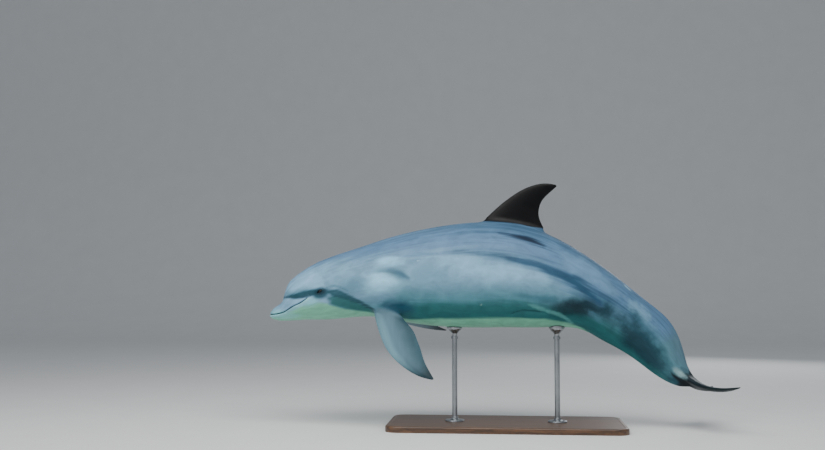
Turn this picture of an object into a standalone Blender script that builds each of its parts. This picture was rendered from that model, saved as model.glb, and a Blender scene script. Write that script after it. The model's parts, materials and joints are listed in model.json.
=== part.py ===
"""Bottlenose dolphin, life size, gliding with its tail bent down, on a plain display stand.

Metres, +Z up. The head points along -X and the left side faces -Y. The origin is at the
middle of the underside of the stand's base.

The body is one smooth loft round a bent axis, built in lengths that meet with a thin gap.
Each fin is a blade lofted through a few ribs, and its root is trimmed to the body.
"""

import math

import bmesh
import bpy
import numpy as np
from mathutils import Vector

GAP = 0.0003  # between pieces that touch
SIDES = 28  # points round a section of the body
FIN_POINTS = 12  # points round a rib of a fin
FIN_STEPS = 13  # outlines along a fin
EDGE_HALF = 0.0006  # half the thickness of a fin's rear edge

# The body's axis, (x, z), from the tip of the beak to the tips of the flukes.
AXIS = [
    (-1.127, 0.522),
    (-1.040, 0.536),
    (-0.930, 0.578),
    (-0.620, 0.675),
    (-0.200, 0.717),
    (0.160, 0.690),
    (0.460, 0.566),
    (0.660, 0.425),
    (0.770, 0.300),
    (0.830, 0.240),
    (0.930, 0.195),
    (1.060, 0.180),
]
TAIL_ROLL = math.radians(4.8)  # the tail's twist, left side up, reached at the flukes
ROLL_FROM, ROLL_TO = 1.30, 2.10

# Sections: distance along the axis, height above it, depth below it, half width, and how
# far the top and bottom narrow to a ridge (0 is a plain oval).
SECTIONS = [
    (0.000, 0.008, 0.009, 0.011, 0.0),
    (0.006, 0.018, 0.017, 0.020, 0.0),
    (0.020, 0.031, 0.024, 0.031, 0.0),
    (0.040, 0.041, 0.031, 0.039, 0.0),
    (0.060, 0.051, 0.035, 0.047, 0.0),
    (0.080, 0.071, 0.039, 0.060, 0.0),
    (0.100, 0.093, 0.044, 0.075, 0.0),
    (0.120, 0.113, 0.050, 0.088, 0.0),
    (0.145, 0.133, 0.058, 0.101, 0.0),
    (0.175, 0.146, 0.070, 0.112, 0.0),
    (0.210, 0.156, 0.085, 0.121, 0.0),
    (0.250, 0.165, 0.100, 0.129, 0.0),
    (0.300, 0.172, 0.114, 0.137, 0.0),
    (0.400, 0.178, 0.134, 0.150, 0.0),
    (0.500, 0.184, 0.157, 0.164, 0.0),
    (0.600, 0.198, 0.190, 0.179, 0.0),
    (0.800, 0.226, 0.237, 0.200, 0.0),
    (1.000, 0.245, 0.252, 0.210, 0.0),
    (1.200, 0.240, 0.244, 0.202, 0.05),
    (1.400, 0.198, 0.210, 0.175, 0.15),
    (1.500, 0.175, 0.174, 0.154, 0.25),
    (1.600, 0.156, 0.144, 0.128, 0.35),
    (1.700, 0.138, 0.141, 0.103, 0.50),
    (1.800, 0.127, 0.133, 0.081, 0.65),
    (1.900, 0.124, 0.120, 0.061, 0.75),
    (2.000, 0.097, 0.102, 0.044, 0.75),
    (2.060, 0.070, 0.086, 0.034, 0.65),
    (2.110, 0.046, 0.066, 0.026, 0.40),
    (2.165, 0.022, 0.034, 0.018, 0.10),
]

# The lengths that the body is parted into: name and the distance at which each ends.
LENGTHS = [
    ("upper_beak", 0.068),
    ("head", 0.330),
    ("neck", 0.470),
    ("chest", 0.860),
    ("trunk", 1.360),
    ("tail_stock_front", 1.780),
    ("tail_stock_rear", 2.165),
]
RING_STEPS = [(0.0, 0.002), (0.012, 0.008), (0.148, 0.0182), (0.330, 0.035), (0.470, 0.039),
              (0.860, 0.050), (1.360, 0.035), (1.780, 0.0275), (2.165, None)]

# The closed mouth, (x, z) from in front of the beak to the corner, then the jaw's rear edge.
MOUTH = [
    (-1.160, 0.528),
    (-1.110, 0.526),
    (-1.080, 0.530),
    (-1.049, 0.539),
    (-1.020, 0.554),
    (-0.990, 0.570),
    (-0.960, 0.583),
    (-0.925, 0.607),
]
JAW_REAR = (-0.865, 0.440)

# The eye: distance along the axis, angle down from the top, radius and how deep it sits.
EYE_AT, EYE_ANGLE = 0.288, math.radians(82)
EYE_RADIUS, EYE_DEPTH = 0.0165, 0.0120

# Ribs of the dorsal fin in the plane of symmetry: front (x, z), back (x, z), thickness.
DORSAL_RIBS = [
    ((-0.190, 0.900), (0.215, 0.875), 0.046),
    ((-0.103, 0.972), (0.187, 0.928), 0.036),
    ((-0.033, 1.036), (0.162, 0.985), 0.027),
    ((0.034, 1.088), (0.163, 1.032), 0.021),
    ((0.100, 1.126), (0.178, 1.068), 0.016),
    ((0.168, 1.146), (0.206, 1.098), 0.011),
    ((0.2180, 1.1455), (0.231, 1.120), 0.007),
    ((0.2440, 1.139), (0.2445, 1.132), 0.003),
]

# Ribs of a flipper: front (out, back), rear (out, back), thickness. "Out" runs from the
# front of the root to the tip, and "back" across the flipper.
FLIPPER_RIBS = [
    ((-0.090, 0.036), (0.060, 0.092), 0.050),
    ((0.000, -0.004), (0.127, 0.079), 0.044),
    ((0.050, -0.028), (0.170, 0.079), 0.037),
    ((0.099, -0.048), (0.208, 0.074), 0.031),
    ((0.150, -0.065), (0.246, 0.061), 0.026),
    ((0.210, -0.075), (0.288, 0.046), 0.021),
    ((0.296, -0.068), (0.340, 0.024), 0.016),
    ((0.378, -0.041), (0.392, 0.011), 0.011),
    ((0.429, -0.007), (0.434, 0.003), 0.004),
]
# Each flipper's root, the way it points, and the way its rear edge lies.
LEFT_FLIPPER = ((-0.608, -0.118, 0.545), (0.657, -0.290, -0.702), (0.694, 0.310, 0.650))
RIGHT_FLIPPER = ((-0.608, 0.118, 0.545), (0.700, 0.670, -0.250), (0.690, -0.700, 0.180))

# Ribs of a fluke: front (along the axis, out), rear (along the axis, out), thickness.
FLUKE_RIBS = [
    ((2.060, 0.0), (2.260, 0.0), 0.040),
    ((2.096, 0.028), (2.286, 0.026), 0.033),
    ((2.134, 0.058), (2.290, 0.058), 0.027),
    ((2.172, 0.096), (2.286, 0.096), 0.022),
    ((2.206, 0.140), (2.287, 0.138), 0.018),
    ((2.237, 0.182), (2.296, 0.180), 0.014),
    ((2.270, 0.222), (2.310, 0.220), 0.010),
    ((2.301, 0.256), (2.323, 0.256), 0.007),
    ((2.326, 0.280), (2.330, 0.281), 0.003),
]

# The stand.
BASE_LENGTH, BASE_WIDTH, BASE_HEIGHT = 1.10, 0.46, 0.028
BASE_CORNER, BASE_EDGE = 0.060, 0.004
ROD_RADIUS, FOOT_RADIUS, CUP_RADIUS = 0.0125, 0.045, 0.036
FOOT_HEIGHT, CUP_HEIGHT = 0.016, 0.030
CUP_FOOT = 0.433  # where a rod starts to widen into its cup
ROD_AT = {"stand_rod_front": -0.24, "stand_rod_rear": 0.24}
ROD_TOP = 0.52  # inside the belly, before the cup is cut to it


def spline(knots, values):
    """A natural cubic through the values at the knots, as a function of the distance."""
    knots, values = np.array(knots, float), np.array(values, float)
    steps = np.diff(knots)
    rises = np.diff(values) / steps
    size = len(knots)
    matrix, right = np.eye(size), np.zeros(size)
    for i in range(1, size - 1):
        matrix[i, i - 1 : i + 2] = steps[i - 1], 2 * (steps[i - 1] + steps[i]), steps[i]
        right[i] = 6 * (rises[i] - rises[i - 1])
    bends = np.linalg.solve(matrix, right)

    def value(at):
        i = int(np.clip(np.searchsorted(knots, at, side="right") - 1, 0, size - 2))
        step, before, after = steps[i], at - knots[i], knots[i + 1] - at
        return (
            (bends[i] * after**3 + bends[i + 1] * before**3) / (6 * step)
            + (values[i] / step - bends[i] * step / 6) * after
            + (values[i + 1] / step - bends[i + 1] * step / 6) * before
        )

    return value


def axis_curve():
    """The axis as (x, z, slope) functions of the distance along it."""
    points = np.array(AXIS)
    reach = np.concatenate([[0], np.cumsum(np.hypot(*np.diff(points, axis=0).T))])
    across, up = spline(reach, points[:, 0]), spline(reach, points[:, 1])
    fine = np.linspace(0, reach[-1], 1200)
    line = np.array([(across(t), up(t)) for t in fine])
    far = np.concatenate([[0], np.cumsum(np.hypot(*np.diff(line, axis=0).T))])
    slope = np.unwrap(np.arctan2(np.gradient(line[:, 1]), np.gradient(line[:, 0])))
    return lambda s: [float(np.interp(s, far, v)) for v in (line[:, 0], line[:, 1], slope)]


axis_at = axis_curve()
stations = [row[0] for row in SECTIONS]
rise_at, depth_at, width_at, ridge_at = (
    spline(stations, [row[k] for row in SECTIONS]) for k in range(1, 5)
)


def smoothstep(low, high, value):
    t = min(max((value - low) / (high - low), 0.0), 1.0)
    return t * t * (3 - 2 * t)


def frame_at(s):
    """A point of the axis with the directions up and right of the body there."""
    x, z, slope = axis_at(s)
    roll = TAIL_ROLL * smoothstep(ROLL_FROM, ROLL_TO, s)
    normal = Vector((-math.sin(slope), 0, math.cos(slope)))
    across = Vector((0, 1, 0))
    up = normal * math.cos(roll) + across * math.sin(roll)
    right = across * math.cos(roll) - normal * math.sin(roll)
    return Vector((x, 0, z)), up, right


def skin_point(s, angle, swell=0.0):
    """The body's surface at an angle from the top, towards the right side."""
    centre, up, right = frame_at(s)
    tall = (rise_at(s) if math.cos(angle) > 0 else depth_at(s)) + swell
    wide = width_at(s) + swell
    side = math.sin(angle)
    return (
        centre
        + up * (tall * math.cos(angle))
        + right * (wide * side * abs(side) ** max(ridge_at(s), 0.0))
    )


def ring_distances():
    """Where the rings of the loft are: closest at the head, and at every parting."""
    found = []
    for (start, step), (end, _) in zip(RING_STEPS, RING_STEPS[1:]):
        count = round((end - start) / step)
        found += [start + (end - start) * i / count for i in range(count)]
    return found + [RING_STEPS[-1][0]]


RINGS = ring_distances()
body = bpy.data.collections.new("bottlenose_dolphin")
cutters = bpy.data.collections.new("cutters")


def paint(name, colour, roughness, metallic=0.0):
    """A Principled material with one colour."""
    material = bpy.data.materials.new(name)
    material.use_nodes = True
    shader = material.node_tree.nodes["Principled BSDF"]
    shader.inputs["Base Color"].default_value = (*colour, 1)
    shader.inputs["Roughness"].default_value = roughness
    shader.inputs["Metallic"].default_value = metallic
    return material


def add_mesh(name, mesh, material, collection):
    """A finished bmesh as a smooth-shaded object, its faces turned outwards."""
    bmesh.ops.recalc_face_normals(mesh, faces=mesh.faces[:])
    data = bpy.data.meshes.new(name)
    mesh.to_mesh(data)
    mesh.free()
    data.shade_smooth()
    data.set_sharp_from_angle(angle=math.radians(35))
    data.materials.append(material)
    made = bpy.data.objects.new(name, data)
    collection.objects.link(made)
    return made


def as_cutter(made):
    made.hide_render = True
    made.display_type = "WIRE"
    return made


def cut(made, cutter, operation="DIFFERENCE", solver="EXACT"):
    change = made.modifiers.new(f"{operation.lower()} {cutter.name}", "BOOLEAN")
    change.operation = operation
    change.solver = solver
    change.object = cutter


def loft(rings):
    """Closed rings of points joined in order, with a fan of faces closing each end.

    The sides are triangles, so that a piece and its cutter bend along the same diagonals.
    """
    mesh = bmesh.new()
    rows = [[mesh.verts.new(point) for point in ring] for ring in rings]
    for row, following in zip(rows, rows[1:]):
        for i in range(len(row)):
            j = (i + 1) % len(row)
            mesh.faces.new((row[i], row[j], following[i]))
            mesh.faces.new((row[j], following[j], following[i]))
    for row in (rows[0], rows[-1]):
        middle = mesh.verts.new(sum((v.co for v in row), Vector()) / len(row))
        for i, vertex in enumerate(row):
            mesh.faces.new((vertex, row[(i + 1) % len(row)], middle))
    return mesh


def body_length(name, start, end, material, collection, swell=0.0):
    """The body between two distances, widened all round by the swell."""
    between = [s for s in RINGS if start + GAP < s < end - GAP]
    rings = [
        [skin_point(s, 2 * math.pi * i / SIDES, swell) for i in range(SIDES)]
        for s in [start, *between, end]
    ]
    return add_mesh(name, loft(rings), material, collection)


def rib_outline(front, back, thickness, place):
    """One rib: a streamlined section, round in front and thin behind."""
    points = []
    for i in range(FIN_POINTS):
        angle = 2 * math.pi * (i + 0.5) / FIN_POINTS
        along = (1 - math.cos(angle)) / 2
        streamline = 1.48 * math.sqrt(along) - 0.63 * along - 1.758 * along**2
        streamline += 1.4215 * along**3 - 0.5075 * along**4
        half = thickness * streamline + EDGE_HALF * (0.4 + 0.6 * along)
        spot = front + (back - front) * along
        points.append(place(spot[0], spot[1], math.copysign(half, math.sin(angle))))
    return points


def blade(name, ribs, place, material, steps):
    """A fin through its ribs, smoothed along its length."""
    knots = range(len(ribs))
    parts = [[*front, *back, thickness] for front, back, thickness in ribs]
    curves = [spline(knots, [row[k] for row in parts]) for k in range(5)]
    outlines = []
    for i in range(steps + 1):
        at = (len(ribs) - 1) * i / steps
        fx, fy, bx, by, thickness = (curve(at) for curve in curves)
        outlines.append(rib_outline(Vector((fx, fy)), Vector((bx, by)), thickness, place))
    return add_mesh(name, loft(outlines), material, body)


def make_jaw_block(name, lift, collection):
    """Everything below the mouth line and ahead of the jaw's rear edge, raised by lift."""
    corner = MOUTH[-1]
    edge = [(x, z + lift) for x, z in MOUTH[:-1]]
    edge.append((corner[0] + lift, corner[1] + lift))
    edge.append((JAW_REAR[0] + lift, JAW_REAR[1]))
    edge.append((MOUTH[0][0], JAW_REAR[1]))
    mesh = bmesh.new()
    near = [mesh.verts.new((x, -0.25, z)) for x, z in edge]
    far = [mesh.verts.new((x, 0.25, z)) for x, z in edge]
    mesh.faces.new(near)
    mesh.faces.new(far)
    for i in range(len(edge)):
        j = (i + 1) % len(edge)
        mesh.faces.new((near[i], near[j], far[j], far[i]))
    return as_cutter(add_mesh(name, mesh, skin_grey, collection))


def add_eye(name, side, head):
    """An eyeball, with the socket that it sits in cut from the head."""
    angle = side * EYE_ANGLE
    spot = skin_point(EYE_AT, angle)
    along = skin_point(EYE_AT + 0.01, angle) - skin_point(EYE_AT - 0.01, angle)
    around = skin_point(EYE_AT, angle + 0.05) - skin_point(EYE_AT, angle - 0.05)
    outward = along.cross(around).normalized()
    if outward.y * side < 0:
        outward.negate()
    centre = spot - outward * EYE_DEPTH
    for title, radius, collection in (
        (name, EYE_RADIUS, body),
        (f"{name}_socket", EYE_RADIUS + GAP, cutters),
    ):
        mesh = bmesh.new()
        bmesh.ops.create_uvsphere(mesh, u_segments=14, v_segments=8, radius=radius)
        bmesh.ops.translate(mesh, verts=mesh.verts[:], vec=centre)
        made = add_mesh(title, mesh, eye_brown, collection)
    cut(head, as_cutter(made))


def flipper_place(root, out, back):
    """Turns a flipper's own measures into a place on the body."""
    root, out, back = Vector(root), Vector(out).normalized(), Vector(back)
    back = (back - out * back.dot(out)).normalized()
    through = out.cross(back)
    return lambda a, b, n: root + out * a + back * b + through * n


def fluke_place(side):
    """Lays a fluke on the bent axis, out to one side."""

    def place(s, out, n):
        centre, up, right = frame_at(s)
        return centre + right * (side * (out + GAP / 2)) + up * n

    return place


def dorsal_place(x, z, n):
    return Vector((x, n, z))


def add_base():
    """The stand's flat base, with round corners and a small bevel all round its top."""
    bpy.ops.mesh.primitive_cube_add(size=1, location=(0, 0, BASE_HEIGHT / 2))
    base = bpy.context.object
    base.name = "stand_base"
    base.scale = (BASE_LENGTH, BASE_WIDTH, BASE_HEIGHT)
    bpy.ops.object.transform_apply(location=True, rotation=True, scale=True)
    mesh = bmesh.new()
    mesh.from_mesh(base.data)
    upright = [e for e in mesh.edges if abs(e.verts[0].co.z - e.verts[1].co.z) > 0.001]
    bmesh.ops.bevel(
        mesh, geom=upright, offset=BASE_CORNER, segments=8, profile=0.5, affect="EDGES"
    )
    top = [e for e in mesh.edges if min(v.co.z for v in e.verts) > BASE_HEIGHT - 1e-5]
    bmesh.ops.bevel(mesh, geom=top, offset=BASE_EDGE, segments=3, profile=0.5, affect="EDGES")
    mesh.to_mesh(base.data)
    mesh.free()
    base.data.shade_smooth()
    base.data.set_sharp_from_angle(angle=math.radians(35))
    base.data.materials.append(stand_grey)
    for collection in list(base.users_collection):
        collection.objects.unlink(base)
    body.objects.link(base)


def add_rod(name, x, full_body):
    """A turned rod: a foot flange, a plain shaft, and a cup cut to the shape of the belly."""
    low = BASE_HEIGHT + GAP
    profile = [
        (0, ROD_TOP),
        (CUP_RADIUS, ROD_TOP),
        (CUP_RADIUS, CUP_FOOT + CUP_HEIGHT),
        (CUP_RADIUS * 0.80, CUP_FOOT + CUP_HEIGHT * 0.55),
        (ROD_RADIUS * 1.25, CUP_FOOT + CUP_HEIGHT * 0.20),
        (ROD_RADIUS, CUP_FOOT),
        (ROD_RADIUS, low + FOOT_HEIGHT * 1.4),
        (ROD_RADIUS * 1.35, low + FOOT_HEIGHT),
        (FOOT_RADIUS * 0.90, low + FOOT_HEIGHT * 0.75),
        (FOOT_RADIUS, low + FOOT_HEIGHT * 0.45),
        (FOOT_RADIUS, low),
        (0, low),
    ]
    data = bpy.data.meshes.new(name)
    edges = [(i, i + 1) for i in range(len(profile) - 1)]
    data.from_pydata([(r, 0, z) for r, z in profile], edges, [])
    data.materials.append(rod_steel)
    rod = bpy.data.objects.new(name, data)
    rod.location.x = x
    body.objects.link(rod)
    turn = rod.modifiers.new("turn", "SCREW")
    turn.steps = turn.render_steps = 20
    turn.use_merge_vertices = True
    turn.merge_threshold = 0.00005
    turn.use_smooth_shade = True
    cut(rod, full_body)


for old in list(bpy.data.objects):
    bpy.data.objects.remove(old, do_unlink=True)
bpy.context.scene.collection.children.link(body)
bpy.context.scene.collection.children.link(cutters)

skin_grey = paint("slate grey skin", (0.20, 0.26, 0.33), 0.42)
fin_grey = paint("dark fin skin", (0.05, 0.06, 0.08), 0.45)
flipper_grey = paint("flipper skin", (0.17, 0.20, 0.25), 0.42)
eye_brown = paint("wet dark eye", (0.012, 0.009, 0.008), 0.12)
stand_grey = paint("satin grey paint", (0.09, 0.095, 0.10), 0.45)
rod_steel = paint("brushed steel", (0.55, 0.56, 0.57), 0.30, 1.0)

tail_end = LENGTHS[-1][1]
whole = body_length("full_body", 0, tail_end + GAP, skin_grey, cutters, swell=GAP)
full_body = as_cutter(whole)
jaw_block = make_jaw_block("jaw_block", 0, cutters)
jaw_clearance = make_jaw_block("jaw_clearance", GAP, cutters)

start = 0.0
for name, end in LENGTHS:
    first = start if start == 0 else start + GAP / 2
    last = end if end == tail_end else end - GAP / 2
    piece = body_length(name, first, last, skin_grey, body)
    if name in ("upper_beak", "head"):
        cut(piece, jaw_clearance)
    if name == "head":
        add_eye("eye_left", -1, piece)
        add_eye("eye_right", 1, piece)
    start = end
lower_jaw = body_length("lower_jaw", 0, LENGTHS[1][1] - GAP / 2, skin_grey, body)
cut(lower_jaw, jaw_block, "INTERSECT")

fins = [blade("dorsal_fin", DORSAL_RIBS, dorsal_place, fin_grey, FIN_STEPS)]
for name, side, held in (("left", -1, LEFT_FLIPPER), ("right", 1, RIGHT_FLIPPER)):
    place = flipper_place(*held)
    fins.append(blade(f"flipper_{name}", FLIPPER_RIBS, place, flipper_grey, FIN_STEPS))
    fins.append(blade(f"fluke_{name}", FLUKE_RIBS, fluke_place(side), fin_grey, FIN_STEPS))
for fin in fins:
    cut(fin, full_body, solver="MANIFOLD" if fin.name.startswith("fluke") else "EXACT")

add_base()
for name, x in ROD_AT.items():
    add_rod(name, x, full_body)
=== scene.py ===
# %% [markdown]
# # A bottlenose dolphin, life size
# The animal is a museum model: one smooth painted skin over a solid body, glass eyes and a
# plain stand. The imported solids give the frame, so nothing here moves or resizes them. The
# first step loads them.

# %% Load the solids
import json
import math

import bpy
import numpy as np
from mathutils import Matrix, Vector
from mathutils.kdtree import KDTree

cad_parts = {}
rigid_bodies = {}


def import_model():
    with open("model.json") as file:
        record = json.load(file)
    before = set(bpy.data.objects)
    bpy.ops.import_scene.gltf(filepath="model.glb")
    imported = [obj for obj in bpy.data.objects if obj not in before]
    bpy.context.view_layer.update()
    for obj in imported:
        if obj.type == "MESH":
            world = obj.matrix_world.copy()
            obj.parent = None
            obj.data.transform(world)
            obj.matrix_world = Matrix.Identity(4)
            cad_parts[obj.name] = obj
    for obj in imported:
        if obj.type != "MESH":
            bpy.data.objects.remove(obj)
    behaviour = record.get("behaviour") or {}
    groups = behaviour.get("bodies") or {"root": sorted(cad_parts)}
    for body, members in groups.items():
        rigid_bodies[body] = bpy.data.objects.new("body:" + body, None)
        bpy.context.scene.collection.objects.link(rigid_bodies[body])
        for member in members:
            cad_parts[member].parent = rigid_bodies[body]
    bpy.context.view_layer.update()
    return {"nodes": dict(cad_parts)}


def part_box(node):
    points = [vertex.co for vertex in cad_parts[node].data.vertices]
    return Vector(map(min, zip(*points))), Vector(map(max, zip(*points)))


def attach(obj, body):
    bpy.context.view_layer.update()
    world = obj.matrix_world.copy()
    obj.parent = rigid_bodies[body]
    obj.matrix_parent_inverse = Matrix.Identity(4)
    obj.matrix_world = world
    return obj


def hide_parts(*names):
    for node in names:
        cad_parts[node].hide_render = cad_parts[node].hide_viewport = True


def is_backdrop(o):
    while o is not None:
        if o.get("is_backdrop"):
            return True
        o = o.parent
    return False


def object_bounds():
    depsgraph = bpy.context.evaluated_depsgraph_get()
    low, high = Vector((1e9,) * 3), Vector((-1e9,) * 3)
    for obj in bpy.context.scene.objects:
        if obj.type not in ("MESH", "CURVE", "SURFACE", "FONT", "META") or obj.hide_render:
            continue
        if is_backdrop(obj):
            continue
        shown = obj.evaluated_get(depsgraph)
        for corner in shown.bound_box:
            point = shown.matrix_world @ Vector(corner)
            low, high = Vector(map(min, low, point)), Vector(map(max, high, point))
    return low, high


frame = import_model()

MM = 0.001
print("solids:", sorted(frame["nodes"]))

# %% [markdown]
# ## The studio
# A model this long is looked at from a few metres off, a little above its belly, so the
# camera stands there with a lens that shows the whole animal and some floor.

# %% Camera
CAMERA_AT = (0, -4.76, 0.643)
PITCH_UP, YAW_LEFT = math.atan(0.065), math.atan(0.0925)
FOCAL_LENGTH, SENSOR_WIDTH = 43.636, 36.0

camera_data = bpy.data.cameras.new("studio_camera")
camera_data.lens = FOCAL_LENGTH
camera_data.sensor_width = SENSOR_WIDTH
camera_data.sensor_fit = "HORIZONTAL"
camera = bpy.data.objects.new("studio_camera", camera_data)
camera.location = CAMERA_AT
camera.rotation_euler = (math.radians(90) + PITCH_UP, 0, YAW_LEFT)
bpy.context.scene.collection.objects.link(camera)
bpy.context.scene.camera = camera
print("camera to object:", round(-CAMERA_AT[1], 2), "m")


# %% [markdown]
# ## Helpers
# A few small functions say in one word what each step of modelling does: work on a piece,
# open it in edit mode with some of it selected, close it again with its faces outward, and
# read or write all of its points at once.


# %% Helpers for modelling
def deselect_all():
    if bpy.context.mode != "OBJECT":
        bpy.ops.object.mode_set(mode="OBJECT")
    bpy.ops.object.select_all(action="DESELECT")


def work_on(piece):
    deselect_all()
    piece.select_set(True)
    bpy.context.view_layer.objects.active = piece


def edit(piece, kind="VERT", parts=None, chosen=None):
    """Opens a piece in edit mode with nothing selected but the chosen ones of its parts."""
    work_on(piece)
    bpy.ops.object.mode_set(mode="EDIT")
    bpy.ops.mesh.select_all(action="DESELECT")
    bpy.ops.mesh.select_mode(type=kind)
    if parts:
        bpy.ops.object.mode_set(mode="OBJECT")
        parts.foreach_set("select", chosen)
        bpy.ops.object.mode_set(mode="EDIT")


def finish_edit():
    bpy.ops.mesh.select_mode(type="VERT")
    bpy.ops.mesh.select_all(action="SELECT")
    bpy.ops.mesh.normals_make_consistent(inside=False)
    bpy.ops.object.mode_set(mode="OBJECT")


def new_piece(name, primitive, **settings):
    """Adds a mesh primitive with nothing else selected."""
    deselect_all()
    primitive(**settings)
    piece = bpy.context.object
    piece.name = piece.data.name = name
    return piece


def read(parts, value, width=3, kind=np.float32):
    """One value of every point, edge or face of a mesh, as rows."""
    rows = np.empty(len(parts) * width, kind)
    parts.foreach_get(value, rows)
    return rows.reshape(-1, width)


def coordinates(piece):
    return read(piece.data.vertices, "co").astype(float)


def place_points(piece, spots):
    piece.data.vertices.foreach_set("co", spots.astype(np.float32).ravel())
    piece.data.update()


def smoothstep(low, high, value):
    t = np.clip((np.asarray(value, float) - low) / (high - low), 0, 1)
    return t * t * (3 - 2 * t)


def bell(distance, width):
    """1 at no distance, falling smoothly to almost 0 at two widths."""
    return np.exp(-(distance / width) ** 2)


# %% [markdown]
# ## Backdrop
# A studio hangs a roll of pale paper behind the model and lets it run forward under it. It
# could be a plane and a wall, but their corner would draw a line behind the animal. Here a
# grid is laid along that course, so far off that the camera can go right round the model.

# %% Paper sweep
SWEEP_HALF, SWEEP_NEAR, BEND_START, BEND_RADIUS, WALL_TOP = 16.0, -16.0, 8.0, 3.0, 9.0
sweep = new_piece("paper_sweep", bpy.ops.mesh.primitive_grid_add,
                  x_subdivisions=2, y_subdivisions=48, size=1)
spots = coordinates(sweep)
run = (spots[:, 1] + 0.5) * (BEND_START - SWEEP_NEAR + BEND_RADIUS * math.pi / 2 + WALL_TOP)
past = run - (BEND_START - SWEEP_NEAR)
turn = np.clip(past / BEND_RADIUS, 0, math.pi / 2)
climb = np.clip(past - BEND_RADIUS * math.pi / 2, 0, None)
place_points(sweep, np.stack([
    spots[:, 0] * 2 * SWEEP_HALF,
    SWEEP_NEAR + np.minimum(run, BEND_START - SWEEP_NEAR) + BEND_RADIUS * np.sin(turn),
    BEND_RADIUS * (1 - np.cos(turn)) + climb,
], 1))
sweep.data.shade_smooth()
sweep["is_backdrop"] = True
print("sweep:", [round(v, 1) for v in sweep.dimensions])

# %% [markdown]
# ## Light
# Daylight reaches a dolphin from above and is thrown back softly by pale sand below. The
# studio does the same: a wide soft box hangs overhead and the pale floor lifts the belly. Two
# smaller boxes, one beside the camera and one behind the model, keep its sides from the dark.

# %% Lights
COOL_WHITE = (0.93, 0.97, 1.0)
SOFT_BOXES = [  # name, place, aim, size, watts and colour
    ("overhead_box", (-0.3, -1.7, 3.3), (0, 0, 0.5), (4.4, 2.2), 150, (1.0, 0.985, 0.96)),
    ("camera_box", (-2.6, -4.6, 1.9), (-0.2, 0, 0.6), (2.2, 1.6), 44, COOL_WHITE),
    ("back_box", (2.2, 4.6, 1.9), (0, 0, 0.6), (2.2, 1.6), 40, COOL_WHITE),
]
for name, place, aim, size, power, colour in SOFT_BOXES:
    light = bpy.data.lights.new(name, "AREA")
    light.shape = "RECTANGLE"
    light.size, light.size_y = size
    light.energy, light.color = power, colour
    lamp = bpy.data.objects.new(name, light)
    lamp.location = place
    lamp.rotation_euler = (Vector(aim) - Vector(place)).to_track_quat("-Z", "Y").to_euler()
    bpy.context.scene.collection.objects.link(lamp)
    print(name, power, "W")
world = bpy.data.worlds.new("studio_world")
bpy.context.scene.world = world
world.use_nodes = True
world.node_tree.nodes["Background"].inputs["Color"].default_value = (0.86, 0.92, 1.0, 1)
world.node_tree.nodes["Background"].inputs["Strength"].default_value = 0.36

# %% [markdown]
# ## The body's line
# A dolphin has no neck or hips to hang a shape on, so the body is described as a shipwright
# describes a hull: an axis from the beak to the flukes, and sections along it that say how
# far the skin stands above, below and beside the axis. The solids were lofted from these
# same sections, in flat facets. Here they are read as smooth curves, so the skin lies on the
# solids and loses the facets. A natural cubic curve is used because its bend changes
# smoothly, and a glossy skin shows every sudden change of bend.

# %% Smooth curves through the sections
# The axis, (x, z) in mm, from the tip of the beak to the tips of the flukes.
AXIS = np.array([
    (-1127, 522), (-1040, 536), (-930, 578), (-620, 675), (-200, 717), (160, 690),
    (460, 566), (660, 425), (770, 300), (830, 240), (930, 195), (1060, 180),
]) / 1000
# Distance along the axis, height above it, depth below it and half width, in mm, and how
# sharp a ridge the back and belly draw up to there, in thousandths.
SECTIONS = np.array([
    (0, 8, 9, 11, 0), (6, 18, 17, 20, 0), (20, 31, 24, 31, 0), (40, 41, 31, 39, 0),
    (60, 51, 35, 47, 0), (80, 71, 39, 60, 0), (100, 93, 44, 75, 0), (120, 113, 50, 88, 0),
    (145, 133, 58, 101, 0), (175, 146, 70, 112, 0), (210, 156, 85, 121, 0),
    (250, 165, 100, 129, 0), (300, 172, 114, 137, 0), (400, 178, 134, 150, 0),
    (500, 184, 157, 164, 0), (600, 198, 190, 179, 0), (800, 226, 237, 200, 0),
    (1000, 245, 252, 210, 0), (1200, 240, 244, 202, 50), (1400, 198, 210, 175, 150),
    (1500, 175, 174, 154, 250), (1600, 156, 144, 128, 350), (1700, 138, 141, 103, 500),
    (1800, 127, 133, 81, 650), (1900, 124, 120, 61, 750), (2000, 97, 102, 44, 750),
    (2060, 70, 86, 34, 650), (2110, 46, 66, 26, 400), (2165, 22, 34, 18, 100),
    (2195, 10, 12, 10, 0), (2215, 3, 3, 4, 0),
]) / 1000
AXIS_POINTS = 1200
TAIL_ROLL = math.radians(4.8)  # the tail's twist, left side up
ROLL_FROM, ROLL_TO = 1.30, 2.10
NOSE, NOSE_END, BODY_END, PAST_BODY = -0.0015, 0.020, 2.215, 0.12


def spline(knots, values):
    """A natural cubic through the values at the knots, for whole arrays of places."""
    knots, values = np.array(knots, float), np.array(values, float)
    steps = np.diff(knots)
    rises = np.diff(values) / steps
    size = len(knots)
    matrix, right = np.eye(size), np.zeros(size)
    for i in range(1, size - 1):
        matrix[i, i - 1:i + 2] = steps[i - 1], 2 * (steps[i - 1] + steps[i]), steps[i]
        right[i] = 6 * (rises[i] - rises[i - 1])
    bends = np.linalg.solve(matrix, right)

    def value(at):
        at = np.asarray(at, float)
        i = np.clip(np.searchsorted(knots, at, side="right") - 1, 0, size - 2)
        step, before, after = steps[i], at - knots[i], knots[i + 1] - at
        return (
            (bends[i] * after**3 + bends[i + 1] * before**3) / (6 * step)
            + (values[i] / step - bends[i] * step / 6) * after
            + (values[i + 1] / step - bends[i + 1] * step / 6) * before
        )

    return value


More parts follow.
